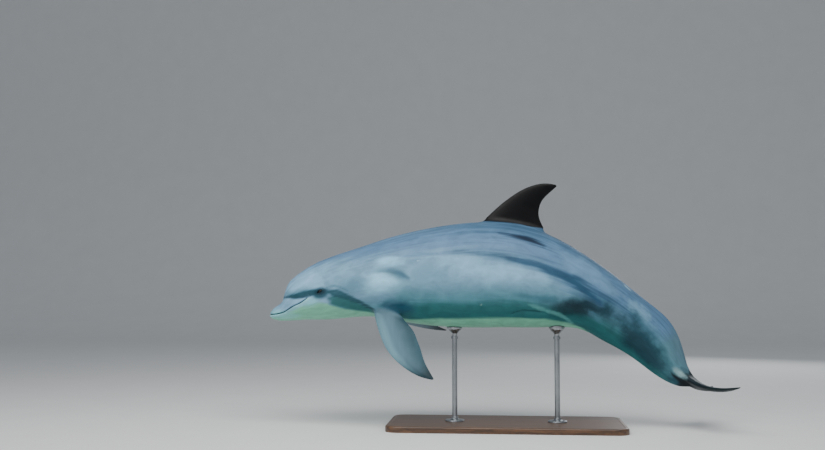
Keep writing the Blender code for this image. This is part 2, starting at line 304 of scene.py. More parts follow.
def size_curve(column):
    """One size of the sections. At the tip of the beak it closes as a round nose."""
    whole = spline(SECTIONS[:, 0], SECTIONS[:, column])
    squares = np.concatenate([[0], SECTIONS[:4, column] ** 2])
    nose = spline([NOSE, *SECTIONS[:4, 0]], squares)

    def value(s):
        blunt = np.sqrt(np.maximum(nose(np.minimum(s, 0.04)), 1e-8))
        return blunt + (whole(s) - blunt) * smoothstep(NOSE_END / 2, NOSE_END, s)

    return value


reach = np.concatenate([[0], np.cumsum(np.hypot(*np.diff(AXIS, axis=0).T))])
fine = np.linspace(0, reach[-1], AXIS_POINTS)
line = np.stack([spline(reach, AXIS[:, 0])(fine), spline(reach, AXIS[:, 1])(fine)], 1)
far = np.concatenate([[0], np.cumsum(np.hypot(*np.diff(line, axis=0).T))])
slope = np.unwrap(np.arctan2(np.gradient(line[:, 1]), np.gradient(line[:, 0])))
rise_at, depth_at, width_at = (size_curve(k) for k in (1, 2, 3))
ridge_at = spline(SECTIONS[:, 0], SECTIONS[:, 4])


def frame_at(s):
    """The axis at a distance, and the directions along, up and right of the body there."""
    s = np.asarray(s, float)
    lean = np.interp(s, far, slope)
    roll = (TAIL_ROLL * smoothstep(ROLL_FROM, ROLL_TO, s))[..., None]
    zero = np.zeros_like(s)
    along = np.stack([np.cos(lean), zero, np.sin(lean)], -1)
    centre = np.stack([np.interp(s, far, line[:, 0]), zero, np.interp(s, far, line[:, 1])], -1)
    centre = centre + along * np.minimum(s, 0)[..., None]
    normal = np.stack([-np.sin(lean), zero, np.cos(lean)], -1)
    across = np.stack([zero, zero + 1, zero], -1)
    up = normal * np.cos(roll) + across * np.sin(roll)
    right = across * np.cos(roll) - normal * np.sin(roll)
    return centre, along, up, right


def skin_point(s, angle):
    """The skin at a distance along the axis and an angle from the top, to the right."""
    s, angle = np.broadcast_arrays(np.asarray(s, float), np.asarray(angle, float))
    centre, _, up, right = frame_at(s)
    tall = np.where(np.cos(angle) > 0, rise_at(s), depth_at(s)) * np.cos(angle)
    side = np.sin(angle)
    wide = width_at(s) * side * np.abs(side) ** np.maximum(ridge_at(s), 0)
    return centre + up * tall[..., None] + right * wide[..., None]


def on_body(spots):
    """For each point: distance along, angle from the top (right positive), and how far
    outside the plain body it lies. It starts at the nearest of some samples of the axis and
    slides along until the point is square to the axis."""
    samples = np.linspace(NOSE, BODY_END + PAST_BODY, 240)
    centres = frame_at(samples)[0]
    s = samples[((spots[:, None, :] - centres[None]) ** 2).sum(-1).argmin(1)]
    for _ in range(8):
        centre, along, _, _ = frame_at(s)
        s = np.clip(s + ((spots - centre) * along).sum(-1) * 0.8, NOSE, BODY_END + PAST_BODY)
    centre, _, up, right = frame_at(s)
    inside = np.minimum(s, BODY_END)
    high, wide = ((spots - centre) * up).sum(-1), ((spots - centre) * right).sum(-1)
    tall = np.where(high > 0, rise_at(inside), depth_at(inside))
    half, ridge = width_at(inside), np.maximum(ridge_at(inside), 0)
    cosine = high / tall
    sine = np.sign(wide) * (np.abs(wide) / half) ** (1 / (1 + ridge))
    beyond = (np.hypot(cosine, sine) - 1) * np.sqrt(tall * half)
    return s, np.arctan2(sine, cosine), beyond


print("axis length:", round(far[-1], 3), "m")

# %% [markdown]
# ## Rolling a sheet into a body
# The body starts as a flat grid of squares, the way a sheet of clay is rolled round a core.
# Its length follows the axis and its width goes once round. Rows are closest at the beak
# and head, where the shape changes fastest. The seam is welded and the two ends are closed.

# %% Body sheet
BODY_SIDES = 136
ROW_STEPS = [(0.020, 0.345, 0.0034), (0.345, 0.760, 0.0072), (0.760, 1.300, 0.0096),
             (1.300, BODY_END, 0.0086)]


def rolled_sheet(name, rows, columns, place):
    """A grid rolled into a closed tube: place(row, column) gives each point's position."""
    sheet = new_piece(name, bpy.ops.mesh.primitive_grid_add,
                      x_subdivisions=columns, y_subdivisions=rows - 1, size=1)
    row, column = np.divmod(np.arange(rows * (columns + 1)), columns + 1)
    place_points(sheet, place(row, column % columns))
    edit(sheet)
    bpy.ops.mesh.select_all(action="SELECT")
    bpy.ops.mesh.remove_doubles(threshold=0.00001)
    bpy.ops.mesh.select_all(action="SELECT")
    bpy.ops.mesh.fill_holes(sides=0)
    finish_edit()
    return sheet


nose_rows = NOSE + (NOSE_END - NOSE) * np.linspace(0.07, 1, 14)[:-1] ** 2
body_rows = np.concatenate([nose_rows] + [
    np.linspace(low, high, round((high - low) / step), endpoint=False)
    for low, high, step in ROW_STEPS
] + [[BODY_END]])
skin = rolled_sheet(
    "skin", len(body_rows), BODY_SIDES,
    lambda r, c: skin_point(body_rows[r], 2 * math.pi * c / BODY_SIDES),
)
print("body sheet:", len(skin.data.polygons), "faces")

# %% [markdown]
# ## Landmarks
# A sculptor marks the eyes, the mouth, the ears and the blowhole on the rough body before
# working on any of them. Here each is a distance along the body and an angle from its top,
# so that it stays on the skin, and a line is a smooth curve through a few such marks.

# %% Where the details lie
# The closed mouth in the side view, (x, z) in mm, from in front of the beak to its corner.
MOUTH = np.array([
    (-1160, 528), (-1110, 526), (-1080, 530), (-1049, 539), (-1020, 554), (-990, 570),
    (-960, 583), (-925, 607),
]) / 1000
EYE_AT, EYE_TURN = 0.288, math.radians(80)
BLOWHOLE_AT = 0.312
EAR_AT, EAR_TURN = 0.352, math.radians(88)
VENT_SLIT, ANAL_SLIT = (1.445, 1.560), (1.590, 1.622)
BATCH, POINTS_PER_STOP = 20000, 24
mouth_height = spline(MOUTH[:, 0], MOUTH[:, 1])


def above_mouth(spots):
    """How far above the height of the gape each point lies."""
    return spots[..., 2] - mouth_height(np.clip(spots[..., 0], MOUTH[0, 0], MOUTH[-1, 0]))


def mouth_line():
    """The gape on the left skin, from the midline in front to the corner of the mouth."""
    along = np.concatenate([np.linspace(NOSE, 0.01, 60), np.linspace(0.011, 0.24, 140)])
    turns = np.radians(np.linspace(0, 120, 241))
    spots = skin_point(along[:, None], -turns[None])
    found = []
    for row, value in zip(spots, above_mouth(spots)):
        crossing = np.flatnonzero((value[:-1] > 0) & (value[1:] <= 0))
        if len(crossing):
            k = crossing[0]
            share = value[k] / (value[k] - value[k + 1])
            found.append(row[k] + (row[k + 1] - row[k]) * share)
    found = np.array(found)
    return found[found[:, 0] < MOUTH[-1, 0]]


def distance_to(spots, course):
    """Each point's distance to the nearest of the course's points, and which that is."""
    near, which = np.empty(len(spots)), np.empty(len(spots), int)
    for start in range(0, len(spots), BATCH):
        part = slice(start, start + BATCH)
        squares = ((spots[part, None, :] - course[None]) ** 2).sum(-1)
        which[part], near[part] = squares.argmin(1), np.sqrt(squares.min(1))
    return near, which


def course_and_widths(*stops):
    """A smooth line on the left skin through stops of mm along, degrees from the top and,
    where it has a width, half of that in mm."""
    rows = np.array(stops, float)
    rows[:, ::2] /= 1000
    share = np.linspace(0, len(rows) - 1, POINTS_PER_STOP * len(rows))
    s, degrees, *widths = (spline(range(len(rows)), column)(share) for column in rows.T)
    return (skin_point(s, -np.radians(degrees)), *widths)


def course_of(*stops):
    return course_and_widths(*stops)[0]


def belly_line(start, end):
    return skin_point(np.linspace(start, end, 60), np.full(60, -math.pi))


def left_twin(spots):
    """The same points with the right side laid over the left."""
    s, angle, _ = on_body(spots)
    return skin_point(s, -np.abs(angle))


gape = mouth_line()
corner_at, corner_turn, _ = on_body(gape[-1:])
corner_mm, corner_deg = corner_at[0] * 1000, math.degrees(abs(corner_turn[0]))
melon_edge = course_of((68, 0), (76, 22), (102, 46), (140, 63), (180, 74), (215, 80))
shoulder_crease = course_of((520, 77), (560, 76), (600, 78), (645, 81), (680, 86), (706, 92))
corner_folds = course_of((corner_mm + 13, corner_deg - 5), (corner_mm + 17, corner_deg),
                         (corner_mm + 13, corner_deg + 7))
eye_spot = skin_point([EYE_AT], [-EYE_TURN])
ear_spot = skin_point([EAR_AT], [-EAR_TURN])
blow_spot = skin_point([BLOWHOLE_AT], [0])
vent_slit, anal_slit = belly_line(*VENT_SLIT), belly_line(*ANAL_SLIT)
print("gape:", len(gape), "points, corner at", gape[-1].round(3))

# %% [markdown]
# ## Finer mesh where the detail is
# An eyelid needs points a millimetre apart, and the flank needs none closer than a coin. So
# the faces round the eyes, the mouth, the blowhole, the ear holes and the belly slits are
# subdivided, and the new points are put back on the curved body. Subdividing the whole skin
# would do the same at twenty times the size.


# %% Subdivide round the details
def refine(piece, course, within):
    """Subdivides the faces that lie near a course or its twin on the other side."""
    centres = read(piece.data.polygons, "center").astype(float)
    low, high = course.min(0) - within, course.max(0) + within
    inside = ((centres > low) & (centres < high)).all(1)
    folded = centres * [1, -1, 1]
    inside |= ((folded > low) & (folded < high)).all(1)
    chosen = np.zeros(len(centres), bool)
    candidates = np.flatnonzero(inside)
    chosen[candidates] = distance_to(left_twin(centres[candidates]), course)[0] < within
    edit(piece, "FACE", piece.data.polygons, chosen)
    bpy.ops.mesh.subdivide(number_cuts=1)
    bpy.ops.mesh.select_mode(type="VERT")
    bpy.ops.object.mode_set(mode="OBJECT")


lips_line = gape[gape[:, 0] > -1.112]
DETAILS = [
    (eye_spot, 0.040), (gape, 0.012), (blow_spot, 0.030), (ear_spot, 0.012),
    (vent_slit, 0.014), (anal_slit, 0.013), (melon_edge, 0.010), (shoulder_crease, 0.017),
    (corner_folds, 0.014), (eye_spot, 0.029), (lips_line, 0.0065), (blow_spot, 0.023),
    (ear_spot, 0.008), (vent_slit, 0.007), (anal_slit, 0.007), (corner_folds, 0.008),
    (eye_spot, 0.0185), (ear_spot, 0.004), (lips_line[lips_line[:, 0] > -1.05], 0.0022),
]
for course, within in DETAILS:
    refine(skin, course, within)
s, angle, _ = on_body(coordinates(skin))
place_points(skin, skin_point(s, angle))
print("refined body:", len(skin.data.polygons), "faces")

# %% [markdown]
# ## Fins
# A fin is a blade: round in front and thin behind, like the section of a wing. It is rolled
# from a grid too, through a few ribs from root to tip, so it stays one smooth sheet. The two
# flukes are one blade from tip to tip, because a real tail has no join down its middle.

# %% Blades
EDGE_HALF = 0.0011
FIN_COLUMNS = 44
# How thick a wing is: an amount for each power of the share of the way from front to rear.
WING = {0.5: 1.48, 1: -0.63, 2: -1.758, 3: 1.4215, 4: -0.5075}
# Each rib: its front, its rear and its half thickness, in mm in the fin's own plane.
DORSAL_RIBS = [
    (-190, 900, 215, 875, 46), (-103, 972, 187, 928, 36), (-33, 1036, 162, 985, 27),
    (34, 1088, 163, 1032, 21), (100, 1126, 178, 1068, 16), (168, 1146, 206, 1098, 11),
    (218, 1145.5, 231, 1120, 7), (244, 1139, 244.5, 1132, 3),
]
FLIPPER_RIBS = [
    (-90, 36, 60, 92, 50), (0, -4, 127, 79, 44), (50, -28, 170, 79, 37),
    (99, -48, 208, 74, 31), (150, -65, 246, 61, 26), (210, -75, 288, 46, 21),
    (296, -68, 340, 24, 16), (378, -41, 392, 11, 11), (429, -7, 434, 3, 4),
]
FLUKE_RIBS = [
    (2060, 0, 2264, 0, 40), (2096, 28, 2280, 24, 33), (2134, 58, 2288, 56, 27),
    (2172, 96, 2291, 96, 22), (2206, 140, 2295, 139, 18), (2237, 182, 2302, 180, 14),
    (2270, 222, 2312, 220, 10), (2301, 256, 2323, 256, 7), (2326, 280, 2330, 281, 3),
]
FLUKE_SPAN, FLUKE_SAG, FLUKE_CURL, NOTCH = 0.281, 0.011, 0.014, (2.17, 2.27)
# Root, the way the flipper points, and the way its rear edge lies.
LEFT_FLIPPER = ((-0.608, -0.118, 0.545), (0.657, -0.290, -0.702), (0.694, 0.310, 0.650))
RIGHT_FLIPPER = ((-0.608, 0.118, 0.545), (0.700, 0.670, -0.250), (0.690, -0.700, 0.180))


def dorsal_place(x, z, n):
    return np.stack([x, n, z], -1)


def flipper_place(root, out, back):
    out = np.array(out) / np.linalg.norm(out)
    back = np.array(back) - out * np.dot(out, back)
    back = back / np.linalg.norm(back)
    through = np.cross(out, back)
    return lambda a, b, n: (
        np.array(root) + a[..., None] * out + b[..., None] * back + n[..., None] * through
    )


def fluke_place(s, out, n):
    """The flukes sag a little between their root and tips, and the tips curl up."""
    centre, _, up, right = frame_at(s)
    share = np.abs(out) / FLUKE_SPAN
    sag = np.sin(math.pi * share)
    sag = np.where(share < 0.5, np.maximum(sag, smoothstep(*NOTCH, s)), sag)
    lift = FLUKE_CURL * share ** 3 - FLUKE_SAG * sag
    return centre + right * out[..., None] + up * (n + lift)[..., None]


def blade(name, ribs, place, steps, mirrored=False):
    """A fin through its ribs. A mirrored one runs from tip to tip."""
    share = np.linspace(-1 if mirrored else 0, 1, (2 if mirrored else 1) * steps + 1)
    hand = np.sign(share + 1e-9) if mirrored else np.ones(len(share))
    fx, fy, bx, by, thick = (
        spline(range(len(ribs)), column)(np.abs(share) * (len(ribs) - 1))
        for column in np.array(ribs).T / 1000
    )

    def point(r, c):
        angle = 2 * math.pi * (c + 0.5) / FIN_COLUMNS
        chord = (1 - np.cos(angle)) / 2
        wing = sum(amount * chord ** power for power, amount in WING.items())
        half = thick[r] * wing + EDGE_HALF * (0.4 + 0.6 * chord)
        across = (fy[r] + (by - fy)[r] * chord) * hand[r]
        return place(fx[r] + (bx - fx)[r] * chord, across, np.copysign(half, np.sin(angle)))

    made = rolled_sheet(name, len(share), FIN_COLUMNS, point)
    r, c = np.divmod(np.arange(len(share) * FIN_COLUMNS), FIN_COLUMNS)
    chord = (1 - np.cos(2 * math.pi * (c + 0.5) / FIN_COLUMNS)) / 2
    fins[name] = (point(r, c), np.abs(share)[r], chord)
    print(name, len(made.data.polygons), "faces")
    return made


fins = {}
blades = [
    blade("dorsal", DORSAL_RIBS, dorsal_place, 52),
    blade("flipper_near", FLIPPER_RIBS, flipper_place(*LEFT_FLIPPER), 64),
    blade("flipper_far", FLIPPER_RIBS, flipper_place(*RIGHT_FLIPPER), 64),
    blade("flukes", FLUKE_RIBS, fluke_place, 46, mirrored=True),
]

# %% [markdown]
# ## One skin
# On the animal there is no join where a fin leaves the body, so the blades are united with
# the body by a Boolean. Its faces with many sides are cut into triangles.

# %% Unite the fins with the body
for each in blades:
    union = skin.modifiers.new("unite", "BOOLEAN")
    union.operation = "UNION"
    union.solver = "EXACT"
    union.object = each
    work_on(skin)
    bpy.ops.object.modifier_apply(modifier=union.name)
    bpy.data.objects.remove(each)
edit(skin, "FACE")
bpy.ops.mesh.select_face_by_sides(number=4, type="GREATER")
bpy.ops.mesh.quads_convert_to_tris(quad_method="BEAUTY", ngon_method="BEAUTY")
finish_edit()
print("united:", len(skin.data.polygons), "faces")


# %% [markdown]
# ### Fillets
# Skin runs into a fin with no corner. The mesh near each join is relaxed: every point moves
# towards the middle of its neighbours, as a thumb drags soft clay into a corner. The further
# from the join, the less it moves, which leaves a fillet that fades into both surfaces.


# %% Relax the joins
def relax(piece, share, rounds):
    """Moves each point towards the middle of its neighbours, by its own share."""
    spots, ends = coordinates(piece), read(piece.data.edges, "vertices", 2, np.int32)
    start = spots.copy()
    both = np.concatenate([ends, ends[:, ::-1]])
    count = np.maximum(np.bincount(both[:, 0], minlength=len(spots)), 1)
    for _ in range(rounds):
        middle = np.stack([
            np.bincount(both[:, 0], spots[both[:, 1], k], len(spots)) for k in range(3)
        ], 1) / count[:, None]
        spots += (middle - spots) * share[:, None]
    place_points(piece, spots)
    return np.linalg.norm(spots - start, axis=1)


FILLETS = {"dorsal": 0.020, "flipper_near": 0.034, "flipper_far": 0.034, "flukes": 0.026}
FIN_REACH, INSIDE_FIN = 0.06, 0.004


def near_joins(spots):
    """1 at the join between a fin and the body, falling to 0 at the fillet's edge."""
    beyond = on_body(spots)[2]
    share = np.zeros(len(spots))
    for name, (fin_spots, _, _) in fins.items():
        tree = KDTree(len(fin_spots))
        for i, spot in enumerate(fin_spots):
            tree.insert(spot, i)
        tree.balance()
        near = np.flatnonzero((spots > fin_spots.min(0) - FIN_REACH).all(1)
                              & (spots < fin_spots.max(0) + FIN_REACH).all(1))
        gap = np.array([tree.find(spots[i])[2] for i in near])
        from_join = np.hypot(np.clip(gap - INSIDE_FIN, 0, None), beyond[near].clip(0))
        share[near] = np.maximum(
            share[near], 1 - smoothstep(0.15, 1, from_join / FILLETS[name])
        )
    return share


edit(skin, "VERT", skin.data.vertices, near_joins(coordinates(skin)) > 0.8)
bpy.ops.mesh.remove_doubles(threshold=0.0012)
bpy.ops.mesh.dissolve_degenerate(threshold=0.0001)
finish_edit()
moved = relax(skin, 0.5 * near_joins(coordinates(skin)), 60)
print("joins relaxed, up to", round(moved.max() / MM, 1), "mm")

# %% [markdown]
# ## Sculpting the forms
# The head, folds and slits are pushed out of or into the skin along its normals, as a
# sculptor adds and takes clay. Each form is a smooth hill or furrow of a stated height and
# width, measured from a line or spot on the body. A texture could fake them, but a real
# crease shows in the outline and keeps its shadow from every side.


# %% Pushing tools
def lie_of_the_skin():
    """Where each point is: distance along, angle from the top, how far out of the plain
    body, and its spot laid on the plain left side, where marks and forms are measured."""
    along, turn, beyond = on_body(coordinates(skin))
    turn = np.abs(turn)
    return along, turn, beyond, skin_point(along, -turn)


ALONG, TURN, BEYOND, FLAT = lie_of_the_skin()


def furrow(course, width):
    """1 on the course, falling to 0 at about two widths to either side."""
    low, high = course.min(0) - 3 * width, course.max(0) + 3 * width
    near = np.flatnonzero(((FLAT > low) & (FLAT < high)).all(1))
    amount = np.zeros(len(FLAT))
    amount[near] = bell(distance_to(FLAT[near], course)[0], width)
    return amount


def spot_at(along_mm, degrees):
    """A spot on the left skin, and the body's direction there."""
    at = np.array([along_mm / 1000])
    return skin_point(at, -np.radians([degrees]))[0], frame_at(at)[1][0]


def mound(along_mm, degrees, long_mm, tall_mm):
    """A soft oval hill: 1 at its middle, with its spread along and round the body."""
    spot, along = spot_at(along_mm, degrees)
    gap = FLAT - spot
    lengthways = gap @ along
    sideways = np.sqrt(np.maximum((gap ** 2).sum(1) - lengthways ** 2, 0))
    long, tall = long_mm / 1000, tall_mm / 1000
    return np.exp(-(lengthways / long) ** 2 - (sideways / tall) ** 2)


def push(name, amount):
    """Moves the skin outwards by an amount in mm at every point."""
    normals = read(skin.data.vertex_normals, "vector")
    place_points(skin, coordinates(skin) + normals * (amount * MM)[:, None])
    print(name, round(amount.min(), 1), "to", round(amount.max(), 1), "mm")


on_plain = 1 - smoothstep(0.004, 0.020, BEYOND)

# %% [markdown]
# ### Large forms
# The melon, the fatty forehead, rises in a step from the beak. Behind the eye the neck has
# a shallow fold, because a bottlenose can turn its head. The shoulder blade lifts the skin
# above the flipper and leaves a crease over it, and there is a hollow behind the flipper.

# %% Large forms
neck_fold = course_of((318, 58), (334, 76), (334, 92), (318, 108))
cheek_fold = course_of((335, 84), (364, 87), (399, 100), (451, 118), (502, 136))
axilla_fold = course_of((560, 131), (610, 122), (665, 119), (720, 121))
stock_groove = course_of((1500, 96), (1620, 99), (1760, 97), (1900, 93), (2020, 88))
stock_line = course_of((1490, 72), (1582, 77), (1665, 74), (1780, 66), (1900, 55))
flank_fold = course_of((1190, 138), (1246, 131), (1293, 129), (1382, 131))
push("melon", on_plain * (
    -3.0 * furrow(melon_edge, 0.007) + 2.2 * mound(118, 20, 30, 60)
))
push("shoulder", on_plain * (
    -4.4 * furrow(shoulder_crease, 0.011) + 7.0 * mound(605, 95, 60, 45)
    + 2.0 * mound(610, 62, 70, 35)
))
push("neck and armpit", on_plain * (
    -2.0 * furrow(neck_fold, 0.009) - 1.6 * furrow(cheek_fold, 0.009)
    - 3.0 * furrow(axilla_fold, 0.009) - 6.0 * mound(650, 133, 50, 34)
))
push("tail stock", on_plain * (
    -3.0 * furrow(stock_groove, 0.016) - 1.6 * furrow(stock_line, 0.010)
    - 2.4 * furrow(flank_fold, 0.007) + 2.0 * mound(1330, 141, 90, 22)
))

# %% [markdown]
# ### Mouth
# The lips close in one furrow that curves up to a corner under the eye. Both lips are
# rolled, the lower one a little fuller, and small creases stand behind the corner.

# %% Mouth
on_head = ALONG < 0.30
gape_gap = np.full(len(FLAT), 1.0)
gape_gap[on_head] = distance_to(FLAT[on_head], gape)[0]
# The line thins out, and the lips end, towards the corner under the eye.
gape_gap += 0.0022 * smoothstep(-0.932, -0.905, FLAT[:, 0])
to_corner = smoothstep(-0.950, -0.915, FLAT[:, 0])
above_gape = above_mouth(FLAT) > 0
upper_lip = above_gape * bell(gape_gap - 0.006, 0.0040)
lower_lip = ~above_gape * bell(gape_gap - 0.007, 0.0050)
push("lips", (1 - to_corner) * (1.6 * upper_lip + 2.4 * lower_lip))
push("lip line",
     -4.5 * (1 - 0.6 * to_corner) * bell(gape_gap, 0.0020) - 1.2 * furrow(corner_folds, 0.0026))
relax(skin, 0.5 * (1 - smoothstep(0.004, 0.010, gape_gap)), 4)


# %% [markdown]
# ### Eye sockets
# A dolphin's eye looks small because thick lids close all but a narrow almond of it. The
# lids stand out as a rolled rim on a low swelling, with a fold above and below, and the
# almond is sunk so that the eyeball can sit behind the lids as a real one does.

# %% Eye sockets
EYE_HALF_WIDTH, LID_TOP, LID_BOTTOM = 0.0150, 0.0068, 0.0062
EYE_TILT = math.radians(-10)


def eye_frame(side):
    """Where the eye is, with the directions ahead, up and out of the head there."""
    def at(s, angle):
        return skin_point(np.array([s]), np.array([side * angle]))[0]

    ahead = at(EYE_AT - 0.01, EYE_TURN) - at(EYE_AT + 0.01, EYE_TURN)
    up = at(EYE_AT, EYE_TURN - 0.06) - at(EYE_AT, EYE_TURN + 0.06)
    out = np.cross(ahead, up)
    out *= np.sign(out[1] * side) / np.linalg.norm(out)
    ahead /= np.linalg.norm(ahead)
    up = np.cross(out, ahead) * np.sign(np.cross(out, ahead)[2])
    return at(EYE_AT, EYE_TURN), ahead, up, out


def lid_gap(ahead, up):
    """Distance outside the almond between the lids, negative inside it, and the height."""
    u = np.abs(ahead * math.cos(EYE_TILT) + up * math.sin(EYE_TILT))
    v = up * math.cos(EYE_TILT) - ahead * math.sin(EYE_TILT)
    height = np.where(v > 0, LID_TOP, LID_BOTTOM)
    radius = (EYE_HALF_WIDTH ** 2 + height ** 2) / (2 * height)
    drop = radius - height  # from the line between the corners to the lid arc's centre
    past_corner = u * drop > (np.abs(v) + drop) * EYE_HALF_WIDTH
    to_corner = np.hypot(u - EYE_HALF_WIDTH, v)
    return np.where(past_corner, to_corner, np.hypot(u, np.abs(v) + drop) - radius), v


spots = coordinates(skin)
for side in (-1, 1):
    middle, ahead, up, out = eye_frame(side)
    gap = spots - middle
    near = (np.linalg.norm(gap, axis=1) < 0.08) & (gap @ out > -0.03)
    u, v = gap[near] @ ahead, gap[near] @ up
    d, above = lid_gap(u, v)
    swelling = 3.2 * bell(np.hypot(u, v), 0.030)
    rim = np.where(above > 0, 2.1, 1.5) * bell(d - 0.0018, 0.0017)
    folds = -np.where(above > 0, 1.6, 1.0) * bell(d - 0.0070, 0.0018)
    brow = 2.0 * np.exp(-((above - 0.019) / 0.007) ** 2 - (u / 0.024) ** 2)
    pocket = -11.0 * (1 - smoothstep(-0.0024, 0.0002, d))
    spots[near] += out * ((swelling + rim + folds + brow + pocket) * MM)[:, None]
place_points(skin, spots)
eye_near = np.linalg.norm(FLAT - eye_spot, axis=1)
relax(skin, 0.5 * (1 - smoothstep(0.020, 0.030, eye_near)), 1)
print("eye opening:", round(2 * EYE_HALF_WIDTH / MM), "x",
      round((LID_TOP + LID_BOTTOM) / MM, 1), "mm")

# %% [markdown]
# ### Blowhole, ear holes, navel and belly slits
# The blowhole is a crescent slit on top of the head with its horns forward, closed by a
# plug just in front of it. The ears are pinholes behind the eyes. Under the belly are the
# navel and two slits, which keep the animal's outline smooth in the water.

# %% Small openings
BLOW_HALF = 0.019
_, along, up, right = (d[0] for d in frame_at(np.array([BLOWHOLE_AT])))
gap = coordinates(skin) - blow_spot[0]
u, v, w = gap @ -along, gap @ right, gap @ up
near = (np.abs(u) < 0.06) & (np.abs(v) < 0.06) & (w > -0.05)
d = u - 0.011 * (v / BLOW_HALF) ** 2
ends = 1 - smoothstep(0.7, 1.1, np.abs(v) / BLOW_HALF)
slit = -4.5 * bell(d, 0.0018) * ends
plug = 1.2 * np.exp(-((u - 0.010) / 0.008) ** 2 - (v / 0.013) ** 2)
lip = 1.1 * bell(d + 0.005, 0.0032) * ends
push("blowhole", np.where(near, slit + plug + lip, 0))
from_ear = np.linalg.norm(FLAT - ear_spot, axis=1)
from_slit = np.minimum(distance_to(FLAT, vent_slit)[0], distance_to(FLAT, anal_slit)[0])
push("ear, slits, navel",
     -2.2 * bell(from_ear, 0.0017) + 0.5 * bell(from_ear - 0.005, 0.003)
     - 4.5 * bell(from_slit, 0.0022) + 1.6 * bell(from_slit - 0.0065, 0.0040)
     - 2.5 * mound(1075, 180, 12, 6) + 1.0 * mound(1075, 180, 26, 16))

# %% [markdown]
# ## Eyes
# Museum eyes are glass: a dark painted iris under a clear dome. Each is a ball a little
# larger than the opening, so its edge is hidden behind the lids. It starts as a sphere, is
# flattened, and its front is bulged for the cornea.

# %% Eyeballs
BALL_SIZE = (0.0178, 0.0152, 0.0125)
BALL_FRONT, CORNEA_RISE = 0.0036, 0.0010
eyes = {}
for name, side in (("eye_left", -1), ("eye_right", 1)):
    middle, ahead, up, out = eye_frame(side)
    ball = new_piece(name + "_glass", bpy.ops.mesh.primitive_uv_sphere_add,
                     segments=64, ring_count=40, radius=1)
    round_spots = coordinates(ball)
    bulge = bell(1 - round_spots[:, 2], 0.10)
    depth = round_spots[:, 2] * BALL_SIZE[2] + CORNEA_RISE * bulge
    centre = middle + out * (BALL_FRONT - BALL_SIZE[2] - CORNEA_RISE)
    place_points(ball, centre + ahead * (round_spots[:, :1] * BALL_SIZE[0])
                 + up * (round_spots[:, 1:2] * BALL_SIZE[1]) + out * depth[:, None])
    edit(ball)
    finish_edit()
    ball.data.shade_smooth()
    eyes[name] = (ball, middle, ahead, up)
    print(ball.name, "at", (centre / MM).round(0), "mm")

# %% [markdown]
# ## The finished skin
# The last quads become triangles, so that every program shades the sculpted skin alike,
# and it is shaded smooth, as skin has no corner sharper than a lip.

# %% Finish the skin's mesh
edit(skin)
bpy.ops.mesh.select_all(action="SELECT")
bpy.ops.mesh.quads_convert_to_tris(quad_method="SHORTEST_DIAGONAL", ngon_method="BEAUTY")
finish_edit()
work_on(skin)
bpy.ops.object.shade_smooth_by_angle(angle=math.radians(60))
print("skin:", len(skin.data.polygons), "triangles")

# %% [markdown]
# ## The stand's board
# A museum board is solid oak with rounded corners. Its top edge is run with a moulding
# cutter, a thin groove follows the edge inside it, and the underside is hollowed a little so
# that the board stands on a rim. The box gets the same cuts in the same order: two bevels,
# then rings set into its top and bottom.

# %% Board
CORNER_RADIUS, EDGE_ROUND = 0.060, 0.008
board_low, board_high = (np.array(corner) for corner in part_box("stand_base"))
board = new_piece("stand_board", bpy.ops.mesh.primitive_cube_add, size=1)
place_points(board, board_low + (coordinates(board) + 0.5) * (board_high - board_low))


def edit_facing(piece, way):
    """Opens a piece in edit mode with the faces selected that face up (1) or down (-1)."""
    work_on(piece)
    faces = piece.data.polygons
    edit(piece, "FACE", faces, read(faces, "normal")[:, 2] * way > 0.999)


edge_heights = coordinates(board)[read(board.data.edges, "vertices", 2, np.int32), 2]
edit(board, "EDGE", board.data.edges, np.abs(edge_heights[:, 0] - edge_heights[:, 1]) > 0.01)
bpy.ops.mesh.bevel(offset=CORNER_RADIUS, segments=14, affect="EDGES")
edit_facing(board, 1)
bpy.ops.mesh.region_to_loop()
bpy.ops.mesh.bevel(offset=EDGE_ROUND, segments=6, affect="EDGES")
edit_facing(board, 1)
for width, depth in ((0.010, 0), (0.0015, -0.0014), (0.0015, 0.0014)):
    bpy.ops.mesh.inset(thickness=width, depth=depth)
edit_facing(board, -1)
for width, depth in ((0.012, 0), (0.0005, -0.002)):
    bpy.ops.mesh.inset(thickness=width, depth=depth)
finish_edit()
work_on(board)
bpy.ops.object.shade_smooth_by_angle(angle=math.radians(30))
print("board:", len(board.data.polygons), "faces,", board.dimensions.z / MM, "mm thick")

# %% [markdown]
# ## Rods, screws and cups
# Each rod is turned from stainless steel with its foot plate, a collar and a cup, and three
# socket screws hold the plate to the board. A felt pad lines the cup, cut to the belly it
# carries, so that steel never touches paint. A turned part is a profile carried once round.

# %% Rods
ROD_RADIUS, CUP_RADIUS, CUP_FOOT, CUP_TALL = 0.0125, 0.036, 0.433, 0.030
PAD_THICK, PAD_GAP, TURNED_SIDES = 0.0025, 0.0003, 72
ABOVE_BELLY = 0.6  # a height that stands for "up to the belly"
SCREW_CIRCLE, SCREW_RADIUS, SCREW_AT = 0.033, 0.0042, 0.0080
# Profiles of the foot plate and of the collar: radius and height, in tenths of a mm.
FOOT_PROFILE = np.array([
    (444, 0), (450, 6), (450, 50), (444, 60), (434, 65), (240, 80), (200, 90), (176, 110),
    (168, 140), (168, 196), (162, 204), (125, 208),
]) / 10000
COLLAR_PROFILE = np.array([
    (125, -200), (160, -198), (166, -192), (166, -88), (160, -82), (125, -80),
]) / 10000


def belly_above(x, y):
    """The height of the skin over a spot on the floor."""
    met, where, _, _ = skin.ray_cast(Vector((x, y, 0.2)), Vector((0, 0, 1)))
    return where.z


